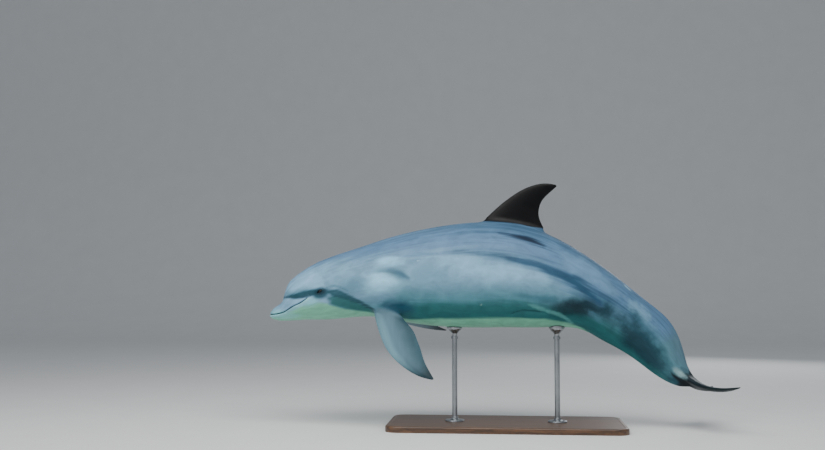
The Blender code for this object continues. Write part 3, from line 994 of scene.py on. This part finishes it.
def turned(name, middle, profile, gap):
    """A turned piece from (radius, height) rows, held a gap below the belly."""
    def place(r, c):
        angle = 2 * math.pi * c / TURNED_SIDES
        radius, height = (np.array(profile)[r, k] for k in (0, 1))
        x, y = middle + radius * np.cos(angle), radius * np.sin(angle)
        for i in np.flatnonzero(height >= CUP_FOOT):
            height[i] = min(height[i], belly_above(x[i], y[i]) - gap[r[i]])
        return np.stack([x, y, height], 1)

    return rolled_sheet(name, len(profile), TURNED_SIDES, place)


floor_of_rod = board_high[2]
flare = [(smoothstep(0, 1, t), t) for t in np.linspace(0, 1, 13)]
rod_profile = [(r, floor_of_rod + z) for r, z in FOOT_PROFILE]
rod_profile += [(r, CUP_FOOT + z) for r, z in COLLAR_PROFILE]
rod_profile += [(ROD_RADIUS + (CUP_RADIUS - ROD_RADIUS) * wider, CUP_FOOT + CUP_TALL * higher)
                for wider, higher in flare]
rod_profile += [(CUP_RADIUS * share, ABOVE_BELLY) for share in (1, 0.94, 0.8, 0.55, 0.3, 0.05)]
pad_shares = (0.05, 0.3, 0.55, 0.8, 0.94, 1.025)
pad_profile = [(CUP_RADIUS * share, ABOVE_BELLY) for share in pad_shares + pad_shares[::-1]]
pad_gaps = np.repeat([PAD_THICK, PAD_GAP], len(pad_shares))
rods = {}
for node in ("stand_rod_front", "stand_rod_rear"):
    low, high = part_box(node)
    middle = (low[0] + high[0]) / 2
    rod = turned(node + "_steel", middle, rod_profile, np.full(len(rod_profile), PAD_THICK))
    pad = turned(node + "_pad", middle, pad_profile, pad_gaps)
    screws = []
    for turn in np.radians((90, 210, 330)):
        screw = new_piece(
            "screw", bpy.ops.mesh.primitive_cylinder_add, vertices=18, radius=SCREW_RADIUS,
            depth=0.0040, location=(middle + SCREW_CIRCLE * math.cos(turn),
                                    SCREW_CIRCLE * math.sin(turn), floor_of_rod + SCREW_AT),
        )
        edit_facing(screw, 1)
        bpy.ops.mesh.region_to_loop()
        bpy.ops.mesh.bevel(offset=0.0006, segments=2, affect="EDGES")
        edit_facing(screw, 1)
        bpy.ops.mesh.inset(thickness=0.0014, depth=0)
        bpy.ops.mesh.inset(thickness=0.0001, depth=-0.0015)
        finish_edit()
        screws.append(screw)
    rods[node] = (rod, pad, screws)
    print(node, "turned at x =", round(middle, 3), "with", len(screws), "screws")

# %% [markdown]
# ## Marks in the skin
# A bottlenose is countershaded: a dark cape on the back, paler flanks and a pale belly. Fine
# dark marks run from the beak to the eye and from the eye to the flipper. Each mark is kept
# on the mesh as a distance in metres from its border, and the paint turns that distance into
# a hard or a soft edge. A painted picture wrapped round the body would need a flat layout of
# it, and its edges would be only as sharp as its dots.

# %% Bands, stripes and patches
FAR_OUT = 0.3
ALONG, TURN, BEYOND, FLAT = lie_of_the_skin()


def keep(name, values):
    """Stores one number for each point of the skin, for its paint to read."""
    layer = skin.data.attributes.new(name, "FLOAT", "POINT")
    layer.data.foreach_set("value", np.clip(values, -FAR_OUT, FAR_OUT).astype(np.float32))


def border(*stops):
    """How far below a line round the body each point lies: stops are (mm along, degrees)."""
    marks = np.array(stops, float)
    line_turn = np.interp(ALONG, marks[:, 0] / 1000, marks[:, 1])
    on_axis = np.clip(ALONG, 0, BODY_END)
    radius = 0.5 * (0.5 * (rise_at(on_axis) + depth_at(on_axis)) + width_at(on_axis))
    return (np.degrees(TURN) - line_turn) * math.pi / 180 * radius


def stripe(*stops):
    """Inside a line of changing width: stops are (mm along, degrees, half width in mm)."""
    course, half = course_and_widths(*stops)
    ends = [stop[0] / 1000 for stop in stops]
    inside = np.full(len(FLAT), -FAR_OUT)
    near = np.flatnonzero((ALONG > min(ends) - 0.1) & (ALONG < max(ends) + 0.1))
    gap, which = distance_to(FLAT[near], course)
    inside[near] = half[which] - gap
    return inside


def patch(along_mm, degrees, long_mm, tall_mm, tilt=0):
    """Inside an oval, tilted by degrees."""
    spot, along = spot_at(along_mm, degrees)
    below = spot_at(along_mm, degrees + 3.0)[0] - spot
    below /= np.linalg.norm(below)
    u, v = (FLAT - spot) @ along, (FLAT - spot) @ below
    lean = math.radians(tilt)
    u, v = u * math.cos(lean) + v * math.sin(lean), v * math.cos(lean) - u * math.sin(lean)
    long, tall = long_mm / 1000, tall_mm / 1000
    far = np.linalg.norm(FLAT - spot, axis=1) > 3 * max(long, tall)
    return np.where(far, -FAR_OUT, (1 - np.hypot(u / long, v / tall)) * min(long, tall))


MARKS = {
    "cape": -border(
        (-10, -10), (100, 5), (300, 24), (500, 48), (704, 60), (862, 61), (1017, 66),
        (1129, 69), (1218, 72), (1304, 74), (1384, 80), (1465, 82), (1532, 87), (1607, 91),
        (1750, 93), (1900, 90), (2100, 88)),
    "shade": border(
        (-10, 150), (250, 150), (330, 118), (450, 126), (550, 122), (660, 112), (800, 109),
        (950, 111), (1090, 109), (1240, 108), (1390, 106), (1470, 103), (1560, 101),
        (1700, 96), (1850, 92), (2000, 92), (2100, 96)),
    # The belly is pale, its own colour, painted darker and green as painted shade and painted
    # light reflected from below.
    "belly": border(
        (-10, 96), (80, 94), (170, 90), (220, 91), (262, 98), (295, 106), (315, 114),
        (374, 131), (440, 143), (500, 149), (600, 158), (684, 156), (760, 150), (841, 146),
        (1040, 144), (1200, 144), (1390, 141), (1530, 152), (1620, 168), (1660, 182),
        (2300, 200)),
    # Painted shade under the head, between the eye stripe and the pale belly.
    "throat_painted_shade": np.minimum.reduce([
        border((300, 92), (345, 93), (399, 104), (451, 121), (502, 138), (560, 146)),
        -border((300, 110), (312, 113), (374, 131), (441, 143), (500, 149), (560, 152)),
        ALONG - 0.312, 0.56 - ALONG]),
    "bridle": stripe((86, 22, 2), (108, 46, 5), (146, 62, 11), (186, 70, 16), (222, 74, 17),
                     (262, 78, 15)),
    "bridle_soft": stripe((96, 26, 4), (146, 56, 16), (190, 65, 22), (230, 71, 20),
                          (268, 76, 15)),
    "eye_patch": patch(290, 83, 45, 28, 8),
    "eye_ring": patch(292, 81.5, 29, 16, 8),
    "eye_stripe": stripe((326, 85, 9), (348, 89, 18), (372, 95, 20), (399, 104, 16),
                         (451, 119, 11), (502, 136, 11), (551, 143, 18)),
    "eye_strand": stripe((326, 78, 3), (358, 79, 7), (392, 86, 7), (420, 95, 3)),
    # Painted shade in the neck fold behind the eye.
    "neck": stripe((318, 62, 4), (328, 76, 10), (326, 92, 12), (316, 108, 6)),
    "cape_line": stripe((930, 64, -8), (1017, 67, 0), (1129, 70, 7), (1218, 73, 13),
                        (1304, 74, 14), (1384, 77, 16), (1465, 79, 18), (1532, 84, 15),
                        (1607, 90, 8)),
    "cape_strand": stripe((1450, 70, 2), (1491, 72, 7), (1582, 77, 11), (1665, 75, 9),
                          (1760, 80, 4)),
    "cape_short": stripe((1120, 40, 3), (1190, 42, 12), (1244, 43, 16), (1300, 46, 5)),
    "saddle": patch(1150, 24, 260, 110),
    # Painted shade on the lower side of the tail stock, broken by lighter mottling.
    "tail_lower_painted_shade": np.minimum.reduce([
        border((1400, 116), (1470, 102), (1560, 84), (1630, 78), (1780, 78), (1850, 81),
               (1940, 90), (2020, 97), (2080, 106)),
        -border((1400, 126), (1620, 122), (1740, 122), (1820, 146), (2300, 190)),
        ALONG - 1.44]),
    "flank_dark": stripe((1200, 110, 2), (1262, 111, 10), (1330, 112, 16), (1400, 110, 20)),
    # Painted highlight on the ridge of the tail's keel.
    "keel_painted_highlight": patch(2100, 98, 32, 14),
    # Painted shade where the near fluke leaves the tail stock.
    "fluke_root_painted_shade": stripe((2066, 114, 1), (2100, 119, 8), (2150, 121, 18)),
    # Painted shade in the crease over the shoulder blade.
    "shoulder": stripe((520, 78, -12), (560, 77, -6), (600, 78, 1), (645, 82, 12),
                       (680, 87, 13), (708, 92, 0)),
    # Painted shade in the hollow behind the flipper.
    "armpit": patch(630, 132, 90, 46, 8),
    # Painted highlight: the swelling over the shoulder blade is painted paler where light falls
    # on it.
    "bulge": patch(585, 93, 120, 80),
    "head": 0.34 - ALONG,
    "jaw": patch(75, 108, 100, 30),
    "cheek": patch(232, 90, 60, 26),
    # Painted highlight on the upper shoulder.
    "shoulder_painted_highlight": patch(635, 66, 75, 26, 10),
    "tail_upper": patch(1480, 55, 190, 80, 4),
    "tail_upper_rear": patch(1790, 62, 110, 46),
    "tail_end": ALONG - 1.93,
    "neck_shade": patch(440, 88, 100, 60),
    # Painted highlight: the flank is painted paler where the overhead light falls on it.
    "flank_painted_highlight": patch(1090, 88, 340, 95, 4),
    "vent_line": stripe((1195, 138, 1), (1246, 131, 3), (1293, 130, 5), (1350, 130, 4),
                        (1400, 132, 2)),
    "vent_light": stripe((1290, 121, 6), (1352, 125, 9), (1464, 133, 9), (1536, 150, 6)),
    "tail_patch": patch(1505, 117, 110, 54, -12),
    "spine": patch(1420, 0, 260, 60),
    "tail_light": patch(1610, 118, 40, 17, 20),
    "nick": patch(1692, 24, 22, 6, 8),
    "scratch": stripe((748, 74, 2), (765, 71, 3), (785, 69, 2)),
    "fleck": patch(1045, 124, 3.5, 9),
    # Painted shade in the gape between the closed lips.
    "mouth": 0.0024 - gape_gap,
    "lip": np.where(above_gape, -FAR_OUT, 0.014 - gape_gap),
}
for name, values in MARKS.items():
    keep(name, values)
# Places along and round the body, for streaks. In tenths, they stay within what keep allows.
TENTH, TYPICAL_RADIUS = 0.1, 0.18
keep("along", ALONG * TENTH)
keep("around", TURN * TYPICAL_RADIUS * TENTH)
print("marks:", len(MARKS))

# %% [markdown]
# ### Fins
# A fin's paint follows its own edges: pale along the front edge, dark behind and at the tip.
# Each point is given the place that the nearest point of a blade had along and across it.

# %% Where the fins are
FLIPPER_CHORD, FLIPPER_LENGTH, FLUKES_FROM, OFF_FIN = 0.125, 0.434, 2.125, -0.01
OUT_OF_BODY, NEAR_BLADE = 0.0008, 0.045
spots = coordinates(skin)
fin_of = np.full(len(spots), -1)
chord_of, out_of = np.zeros(len(spots)), np.zeros(len(spots))
names = list(fins)
fin_rows = [(k, *row) for k, name in enumerate(names) for row in zip(*fins[name])]
tree = KDTree(len(fin_rows))
for i, row in enumerate(fin_rows):
    tree.insert(row[1], i)
tree.balance()
for i in np.flatnonzero(BEYOND > OUT_OF_BODY):
    _, which, gap = tree.find(spots[i])
    if gap < NEAR_BLADE:
        fin_of[i], _, out_of[i], chord_of[i] = fin_rows[which]
on_fin = {k: np.where(fin_of == names.index(k), BEYOND, OFF_FIN) for k in names}
on_flippers = np.maximum(on_fin["flipper_near"], on_fin["flipper_far"])
past_root = np.where(ALONG > FLUKES_FROM, ALONG - FLUKES_FROM, OFF_FIN)
# The back fin is painted near-black: its own dark grey, deepened with painted shade.
# The black of the back fin stops higher at its rear corner than at its front one.
keep("dorsal_fin", on_fin["dorsal"] - 0.004 - 0.012 * smoothstep(0.10, 0.19, spots[:, 0]))
keep("flipper", on_flippers)
# The flukes are painted near-black: their own dark grey, deepened with painted shade.
keep("flukes", np.maximum(on_fin["flukes"], past_root))
# Towards the root a flipper's own marks fade out into the body's paint.
clear_of_body = np.where(on_flippers > OFF_FIN, smoothstep(0.002, 0.040, BEYOND), 0)
for name, inside in (
    ("flipper_front", (0.22 - chord_of) * FLIPPER_CHORD),
    ("flipper_rear", (chord_of - 0.80) * FLIPPER_CHORD),
    ("flipper_tip", (out_of - 0.88) * FLIPPER_LENGTH),
):
    keep(name, -0.1 + (inside + 0.1) * clear_of_body)
print("points on fins:", int((fin_of >= 0).sum()))

# %% [markdown]
# ## Colour
# Paint is named by its sRGB hex value, as on a colour chart, and Blender wants the linear
# amounts of light, so one function turns one into the other. A second small function adds a
# node with its settings and its links, so that a material reads as a list of nodes. Every
# pattern is sized in metres on the piece: one that is L long has a scale of 1 / L.


# %% Helpers for materials
def paint(hex_value):
    channels = [int(hex_value[i:i + 2], 16) / 255 for i in (1, 3, 5)]
    linear = [c / 12.92 if c <= 0.04045 else ((c + 0.055) / 1.055) ** 2.4 for c in channels]
    return (*linear, 1)


def settle(tree, node, settings):
    """Sets a node's own values and its inputs. A node as a value links its first output."""
    for key, value in settings.items():
        if isinstance(value, bpy.types.Node):
            value = next(output for output in value.outputs if output.enabled)
        if isinstance(key, str) and hasattr(node, key):
            setattr(node, key, value)
        elif isinstance(value, bpy.types.NodeSocket):
            tree.links.new(value, node.inputs[key])
        else:
            node.inputs[key].default_value = value
    return node


def add(tree, kind, settings):
    return settle(tree, tree.nodes.new("ShaderNode" + kind), settings)


def new_material(name, settings):
    """A material with its settings, and its node tree, shader and place on the piece."""
    material = bpy.data.materials.new(name)
    material.use_nodes = True
    tree = material.node_tree
    shader = settle(tree, tree.nodes["Principled BSDF"], settings)
    return material, tree, shader, add(tree, "TexCoord", {}).outputs["Object"]


# Inputs of a Mix node that mixes colours.
FIRST, SECOND = 6, 7

# %% [markdown]
# ## Painted resin skin
# The model's skin is cast resin, sprayed with thin layers of matt acrylic and sealed with a
# satin varnish, as museums finish sea animals. Real dolphin skin is smooth and rubbery, with
# faint streaks along the body, so the sprayed edges are broken up by noise that is stretched
# along the body. The eye gets a soft wide highlight and no grain.

# %% Skin paint
skin_material, tree, shader, place = new_material("satin_painted_resin", {
    "Roughness": 0.46, "IOR": 1.42, "Specular IOR Level": 0.25,
})
along, around = (add(tree, "Attribute", {"attribute_name": name}).outputs["Fac"]
                 for name in ("along", "around"))
sheet = add(tree, "CombineXYZ", {"X": along, "Y": around})
noises = {}
for name, size, detail, roughness in (
    ("clouds", 0.110, 4, 0.55), ("patches", 0.032, 5, 0.62), ("grain", 0.0035, 3, 0.50),
):
    noises[name] = add(tree, "TexNoise", {
        "Vector": place, "Scale": 1 / size, "Detail": detail, "Roughness": roughness,
    })
for name, long, wide, detail, roughness, distortion in (
    ("streaks", 0.26, 0.016, 5, 0.58, 0), ("mottle", 0.075, 0.036, 6, 0.60, 0.6),
):
    on_sheet = add(tree, "Mapping", {
        "Vector": sheet, "Scale": (1 / TENTH / long, 1 / TENTH / wide, 1),
    })
    noises[name] = add(tree, "TexNoise", {
        "Vector": on_sheet, "Scale": 1, "Detail": detail, "Roughness": roughness,
        "Distortion": distortion,
    })

# Layers from the first sprayed to the last: mark, paint, where the edge starts and ends in
# mm inside the mark's border, which noise breaks the edge and by how many mm, and strength.
LAYERS = [
    ("head", "#80B2D2", -80, 130, "clouds", 60, 0.75),
    ("cape", "#446C90", -70, 50, "streaks", 60, 0.90),
    ("cape", "#446A88", 40, 200, "clouds", 60, 0.70),
    ("cape", "#1F4660", 60, 260, "streaks", 380, 0.40),
    ("saddle", "#1C4460", -20, 90, "streaks", 90, 0.42),
    ("spine", "#1F4058", -10, 40, "streaks", 30, 0.60),
    ("tail_upper", "#5E88A8", -10, 50, "clouds", 60, 0.70),
    ("tail_upper_rear", "#6C9CB4", -6, 34, "patches", 30, 0.60),
    ("tail_end", "#54767F", -40, 60, "clouds", 40, 0.70),
    # Painted highlight along the upper flank.
    ("flank_painted_highlight", "#82B4D4", 0, 100, "clouds", 60, 0.85),
    # Painted highlight on the upper shoulder.
    ("shoulder_painted_highlight", "#84CCEC", -6, 18, "streaks", 16, 0.65),
    # Painted highlight on the swelling over the shoulder blade.
    ("bulge", "#90D6F2", 0, 70, "clouds", 30, 0.75),
    ("neck_shade", "#447489", 0, 48, "clouds", 30, 0.60),
    ("shade", "#357A85", -72, 44, "clouds", 36, 0.80),
    ("shade", "#126264", 22, 70, "streaks", 24, 0.92),
    # Painted shade on the lower side of the tail stock.
    ("tail_lower_painted_shade", "#063442", -20, 44, "clouds", 50, 0.92),
    ("tail_patch", "#052833", -24, 36, "clouds", 30, 0.85),
    ("flank_dark", "#245A6C", -10, 14, "clouds", 12, 0.50),
    # Pale belly, darkened and tinted green with painted shade and painted light reflected from
    # below.
    ("belly", "#6CB89A", -12, 12, "streaks", 9, 1.0),
    ("jaw", "#74BEBC", -4, 20, "clouds", 8, 0.75),
    ("cheek", "#70B4C0", -4, 20, "clouds", 8, 0.80),
    # Painted shade under the head.
    ("throat_painted_shade", "#0E5C58", -12, 18, "streaks", 9, 0.85),
    ("lip", "#86C6CC", -9, 9, "streaks", 4, 0.8),
    ("bridle_soft", "#2C6A79", -10, 16, "streaks", 9, 0.60),
    ("bridle", "#043C48", -7, 9, "streaks", 6, 0.90),
    # Painted shade in the neck fold behind the eye.
    ("neck", "#437286", -12, 16, "clouds", 8, 0.45),
    ("eye_patch", "#0C414E", -7, 11, "clouds", 5, 0.92),
    ("eye_ring", "#042A36", -6, 8, "clouds", 6, 0.82),
    ("eye_stripe", "#0A444F", -8, 9, "streaks", 8, 0.90),
    ("eye_strand", "#2A5F6C", -6, 7, "streaks", 7, 0.60),
    ("cape_line", "#34607C", -32, -2, "streaks", 14, 0.58),
    ("cape_line", "#1A4662", -12, 9, "streaks", 18, 0.92),
    ("cape_strand", "#1C4660", -13, 12, "streaks", 16, 0.70),
    ("cape_short", "#04182E", -16, 12, "streaks", 16, 0.94),
    # Painted shade in the crease over the shoulder blade.
    ("shoulder", "#285669", -20, 16, "clouds", 10, 0.88),
    # Painted shade in the hollow behind the flipper.
    ("armpit", "#144A60", -18, 30, "clouds", 18, 0.92),
    ("vent_line", "#0B3E44", -4, 4, "streaks", 4, 0.75),
    ("vent_light", "#5AA4A0", -9, 8, "patches", 9, 0.62),
    ("tail_light", "#3F7488", -10, 12, "patches", 16, 0.60),
    ("nick", "#8FB4C8", -3, 4, "patches", 6, 0.8),
    ("scratch", "#9CC4D8", -2, 2, "patches", 3, 0.6),
    ("fleck", "#B0D6C8", -2, 3, "patches", 4, 0.70),
    ("flipper", "#4A6E7E", 2, 22, "clouds", 8, 1.0),
    ("flipper_front", "#5E8896", -14, 12, "clouds", 8, 0.85),
    ("flipper_rear", "#14414C", -55, 18, "clouds", 14, 0.85),
    ("flipper_tip", "#06242C", -90, 20, "clouds", 16, 0.92),
    # The back fin's own dark grey, deepened to near-black with painted shade.
    ("dorsal_fin", "#010103", -3, 3, "streaks", 3, 1.0),
    # The flukes' own dark grey, deepened to near-black with painted shade.
    ("flukes", "#06131A", -8, 18, "clouds", 10, 0.96),
    # Painted highlight on the ridge of the tail's keel.
    ("keel_painted_highlight", "#8CB4BA", -9, 10, "patches", 8, 0.75),
    # Painted shade at the root of the near fluke.
    ("fluke_root_painted_shade", "#06131A", -5, 6, "patches", 5, 0.92),
    # Painted shade in the gape between the closed lips.
    ("mouth", "#14363F", -1.6, 1.6, "patches", 1, 0.85),
]
colour = add(tree, "Mix", {
    "data_type": "RGBA", "Factor": noises["clouds"], FIRST: paint("#5C8AA6"),
    SECOND: paint("#729FB8"),
})
marks_read = {}
for mark, hex_value, start, end, noise, amount, strength in LAYERS:
    if mark not in marks_read:
        marks_read[mark] = add(tree, "Attribute", {"attribute_name": mark}).outputs["Fac"]
    wander = add(tree, "MapRange", {
        "Value": noises[noise], "From Min": 0.3, "From Max": 0.7,
        "To Min": -amount * MM / 2, "To Max": amount * MM / 2, "clamp": False,
    })
    edge = add(tree, "Math", {"operation": "ADD", 0: marks_read[mark], 1: wander})
    share = add(tree, "MapRange", {
        "interpolation_type": "SMOOTHSTEP", "Value": edge,
        "From Min": start * MM, "From Max": end * MM, "To Max": strength,
    })
    colour = add(tree, "Mix", {
        "data_type": "RGBA", "Factor": share, FIRST: colour, SECOND: paint(hex_value),
    })
# The spray lies thicker in some places than in others.
uneven = add(tree, "MapRange", {
    "Value": noises["mottle"], "From Min": 0.32, "From Max": 0.68,
    "To Min": 0.90, "To Max": 1.20,
})
glazed = add(tree, "HueSaturation", {"Color": colour, "Saturation": 0.91, "Value": uneven})
grain = add(tree, "Bump", {
    "Height": noises["grain"], "Strength": 0.25, "Distance": 0.25 * MM,
})
waves = add(tree, "Bump", {
    "Height": noises["streaks"], "Strength": 0.35, "Distance": 1.2 * MM, "Normal": grain,
})
satin = add(tree, "MapRange", {
    "Value": noises["patches"], "From Min": 0.3, "From Max": 0.7,
    "To Min": 0.40, "To Max": 0.54,
})
settle(tree, shader, {"Base Color": glazed, "Normal": waves, "Roughness": satin})
skin.data.materials.append(skin_material)
print("paint layers:", len(LAYERS))

# %% [markdown]
# ## Glass eyes
# The iris and its pupil are painted on the back of the glass, both so dark that they hardly
# part, as a dolphin's do, and the glass dome over them gives one small highlight.

# %% Eye glass
IRIS_HALF_WIDTH, IRIS_HALF_HEIGHT = 0.0070, 0.0052
for name, (ball, middle, ahead, up) in eyes.items():
    eye_material, tree, shader, place = new_material(name + "_painted_glass", {
        "Roughness": 0.25, "IOR": 1.36, "Coat Weight": 0.05, "Coat Roughness": 0.02,
    })
    from_middle = add(tree, "VectorMath", {
        "operation": "SUBTRACT", 0: place, 1: tuple(middle),
    })
    across, upwards = (
        add(tree, "VectorMath", {"operation": "DOT_PRODUCT", 0: from_middle, 1: tuple(way)})
        for way in (ahead / IRIS_HALF_WIDTH, up / IRIS_HALF_HEIGHT)
    )
    oval = add(tree, "CombineXYZ", {"X": across, "Y": upwards})
    rings = add(tree, "ValToRGB", {
        "Fac": add(tree, "VectorMath", {"operation": "LENGTH", 0: oval}),
    })
    pupil, iris = rings.color_ramp.elements
    pupil.position, iris.position = 0.50, 0.62
    pupil.color, iris.color = paint("#040405"), paint("#0A0808")
    rings.color_ramp.elements.new(0.95).color = paint("#060607")
    rays = add(tree, "TexNoise", {"Vector": place, "Scale": 1 / 0.0016, "Detail": 3})
    flecks = add(tree, "Mix", {
        "data_type": "RGBA", "blend_type": "MULTIPLY", "Factor": 0.5, FIRST: rings,
        SECOND: rays.outputs["Color"],
    })
    settle(tree, shader, {"Base Color": flecks})
    ball.data.materials.append(eye_material)
    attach(ball, "root")
    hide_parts(name)

# %% [markdown]
# ## Stained oak
# Oak has long open pores and growth rings a few millimetres apart that run along the board.
# The stain fills the pores, which stay darker, and a satin varnish leaves them just felt.
# The eye gets a warm brown with long uneven lines, and a soft shine.

# %% Board's finish
wood, tree, shader, place = new_material("satin_varnished_oak", {
    "Roughness": 0.42, "IOR": 1.5, "Coat Weight": 0.25, "Coat Roughness": 0.22,
})
warp = add(tree, "TexNoise", {"Vector": place, "Scale": 1 / 0.180, "Detail": 2})
bent = add(tree, "VectorMath", {
    "operation": "MULTIPLY_ADD", 0: warp.outputs["Color"], 1: (0, 0.060, 0.020), 2: place,
})
ring_place = add(tree, "Mapping", {
    "Vector": bent, "Scale": (1 / 0.900, 1 / 0.009, 1 / 0.016),
})
growth = add(tree, "TexNoise", {"Vector": ring_place, "Scale": 1, "Detail": 3})
pore_place = add(tree, "Mapping", {
    "Vector": bent, "Scale": (1 / 0.030, 1 / 0.0011, 1 / 0.0011),
})
pores = add(tree, "TexNoise", {"Vector": pore_place, "Scale": 1, "Detail": 2})
stain = add(tree, "ValToRGB", {"Fac": growth})
dark, pale = stain.color_ramp.elements
dark.position, pale.position = 0.34, 0.66
dark.color, pale.color = paint("#3A271A"), paint("#6B4A30")
pore_share = add(tree, "MapRange", {
    "Value": pores, "From Min": 0.56, "From Max": 0.70, "To Max": 0.65,
})
board_colour = add(tree, "Mix", {
    "data_type": "RGBA", "Factor": pore_share, FIRST: stain, SECOND: paint("#20140D"),
})
dents = add(tree, "Bump", {"Height": pore_share, "Strength": 0.5, "Distance": -0.12 * MM})
settle(tree, shader, {"Base Color": board_colour, "Normal": dents})
board.data.materials.append(wood)
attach(board, "root")
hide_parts("stand_base")
print("board painted:", wood.name)

# %% [markdown]
# ## Turned stainless steel and wool felt
# A lathe leaves rings finer than a hair, which spread the shine along the rod. They are
# drawn about half a millimetre apart, coarser than real ones, so that they show. The felt is
# pressed wool: no shine at all, and a surface of short crossed fibres.

# %% Rods' finish
steel, tree, shader, place = new_material("turned_stainless_steel", {"Metallic": 1.0})
lathe_place = add(tree, "Mapping", {
    "Vector": place, "Scale": (1 / 0.030, 1 / 0.030, 1 / 0.0005),
})
lathe = add(tree, "TexNoise", {"Vector": lathe_place, "Scale": 1, "Detail": 2})
handled = add(tree, "TexNoise", {"Vector": place, "Scale": 1 / 0.045, "Detail": 3})
steel_colour = add(tree, "Mix", {
    "data_type": "RGBA", "Factor": handled, FIRST: paint("#8E9296"),
    SECOND: paint("#A9ADB1"),
})
steel_rough = add(tree, "MapRange", {
    "Value": lathe, "From Min": 0.3, "From Max": 0.7, "To Min": 0.26, "To Max": 0.40,
})
lathe_rings = add(tree, "Bump", {"Height": lathe, "Strength": 0.3, "Distance": 0.05 * MM})
settle(tree, shader, {
    "Base Color": steel_colour, "Roughness": steel_rough, "Normal": lathe_rings,
})

felt, tree, shader, place = new_material("pressed_wool_felt", {
    "Roughness": 0.95, "Specular IOR Level": 0.1, "Sheen Weight": 0.3,
})
fibres = add(tree, "TexNoise", {
    "Vector": place, "Scale": 1 / 0.0012, "Detail": 4, "Distortion": 1.2,
})
wool = add(tree, "Mix", {
    "data_type": "RGBA", "Factor": fibres, FIRST: paint("#1B1D20"), SECOND: paint("#3A3D42"),
})
nap = add(tree, "Bump", {"Height": fibres, "Strength": 0.6, "Distance": 0.3 * MM})
settle(tree, shader, {"Base Color": wool, "Normal": nap})

for node, (rod, pad, screws) in rods.items():
    for piece in (rod, *screws):
        piece.data.materials.append(steel)
    pad.data.materials.append(felt)
    deselect_all()
    for piece in (rod, pad, *screws):
        piece.select_set(True)
    bpy.context.view_layer.objects.active = rod
    bpy.ops.object.join()
    bpy.ops.object.shade_smooth_by_angle(angle=math.radians(35))
    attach(rod, "root")
    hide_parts(node)
    print(rod.name, len(rod.data.polygons), "faces")

# %% [markdown]
# ## Paper
# The sweep is a roll of matt paper. It is nearly white, with a faint unevenness of its pulp
# and no shine, so that the animal's edge reads clearly against it.

# %% Sweep's finish
paper, tree, shader, place = new_material("matt_background_paper", {
    "Roughness": 0.92, "Specular IOR Level": 0.2,
})
pulp = add(tree, "TexNoise", {
    "Vector": place, "Scale": 1 / 0.25, "Detail": 5, "Roughness": 0.6,
})
paper_colour = add(tree, "Mix", {
    "data_type": "RGBA", "Factor": pulp, FIRST: paint("#DCDDDD"), SECOND: paint("#E6E6E5"),
})
tooth = add(tree, "TexNoise", {"Vector": place, "Scale": 1 / 0.002, "Detail": 2})
paper_tooth = add(tree, "Bump", {"Height": tooth, "Strength": 0.2, "Distance": 0.1 * MM})
settle(tree, shader, {"Base Color": paper_colour, "Normal": paper_tooth})
sweep.data.materials.append(paper)
print("sweep:", paper.name)

# %% [markdown]
# ## What each piece stands for
# The skin is one piece for all the solids of flesh. They stay in the physics model, where
# simple shapes are touched and weighed, and the skin is what is seen.

# %% The skin's place in the model
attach(skin, "root")
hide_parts("upper_beak", "lower_jaw", "head", "neck", "chest", "trunk",
            "tail_stock_front", "tail_stock_rear", "dorsal_fin", "flipper_left",
            "flipper_right", "fluke_left", "fluke_right")
print("skin stands for 13 solids")

# %% [markdown]
# ## Sizes
# The finished model's box is printed.

# %% Sizes, then finish
low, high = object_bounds()
print("visual box:", [round(v, 3) for v in (*low, *high)])
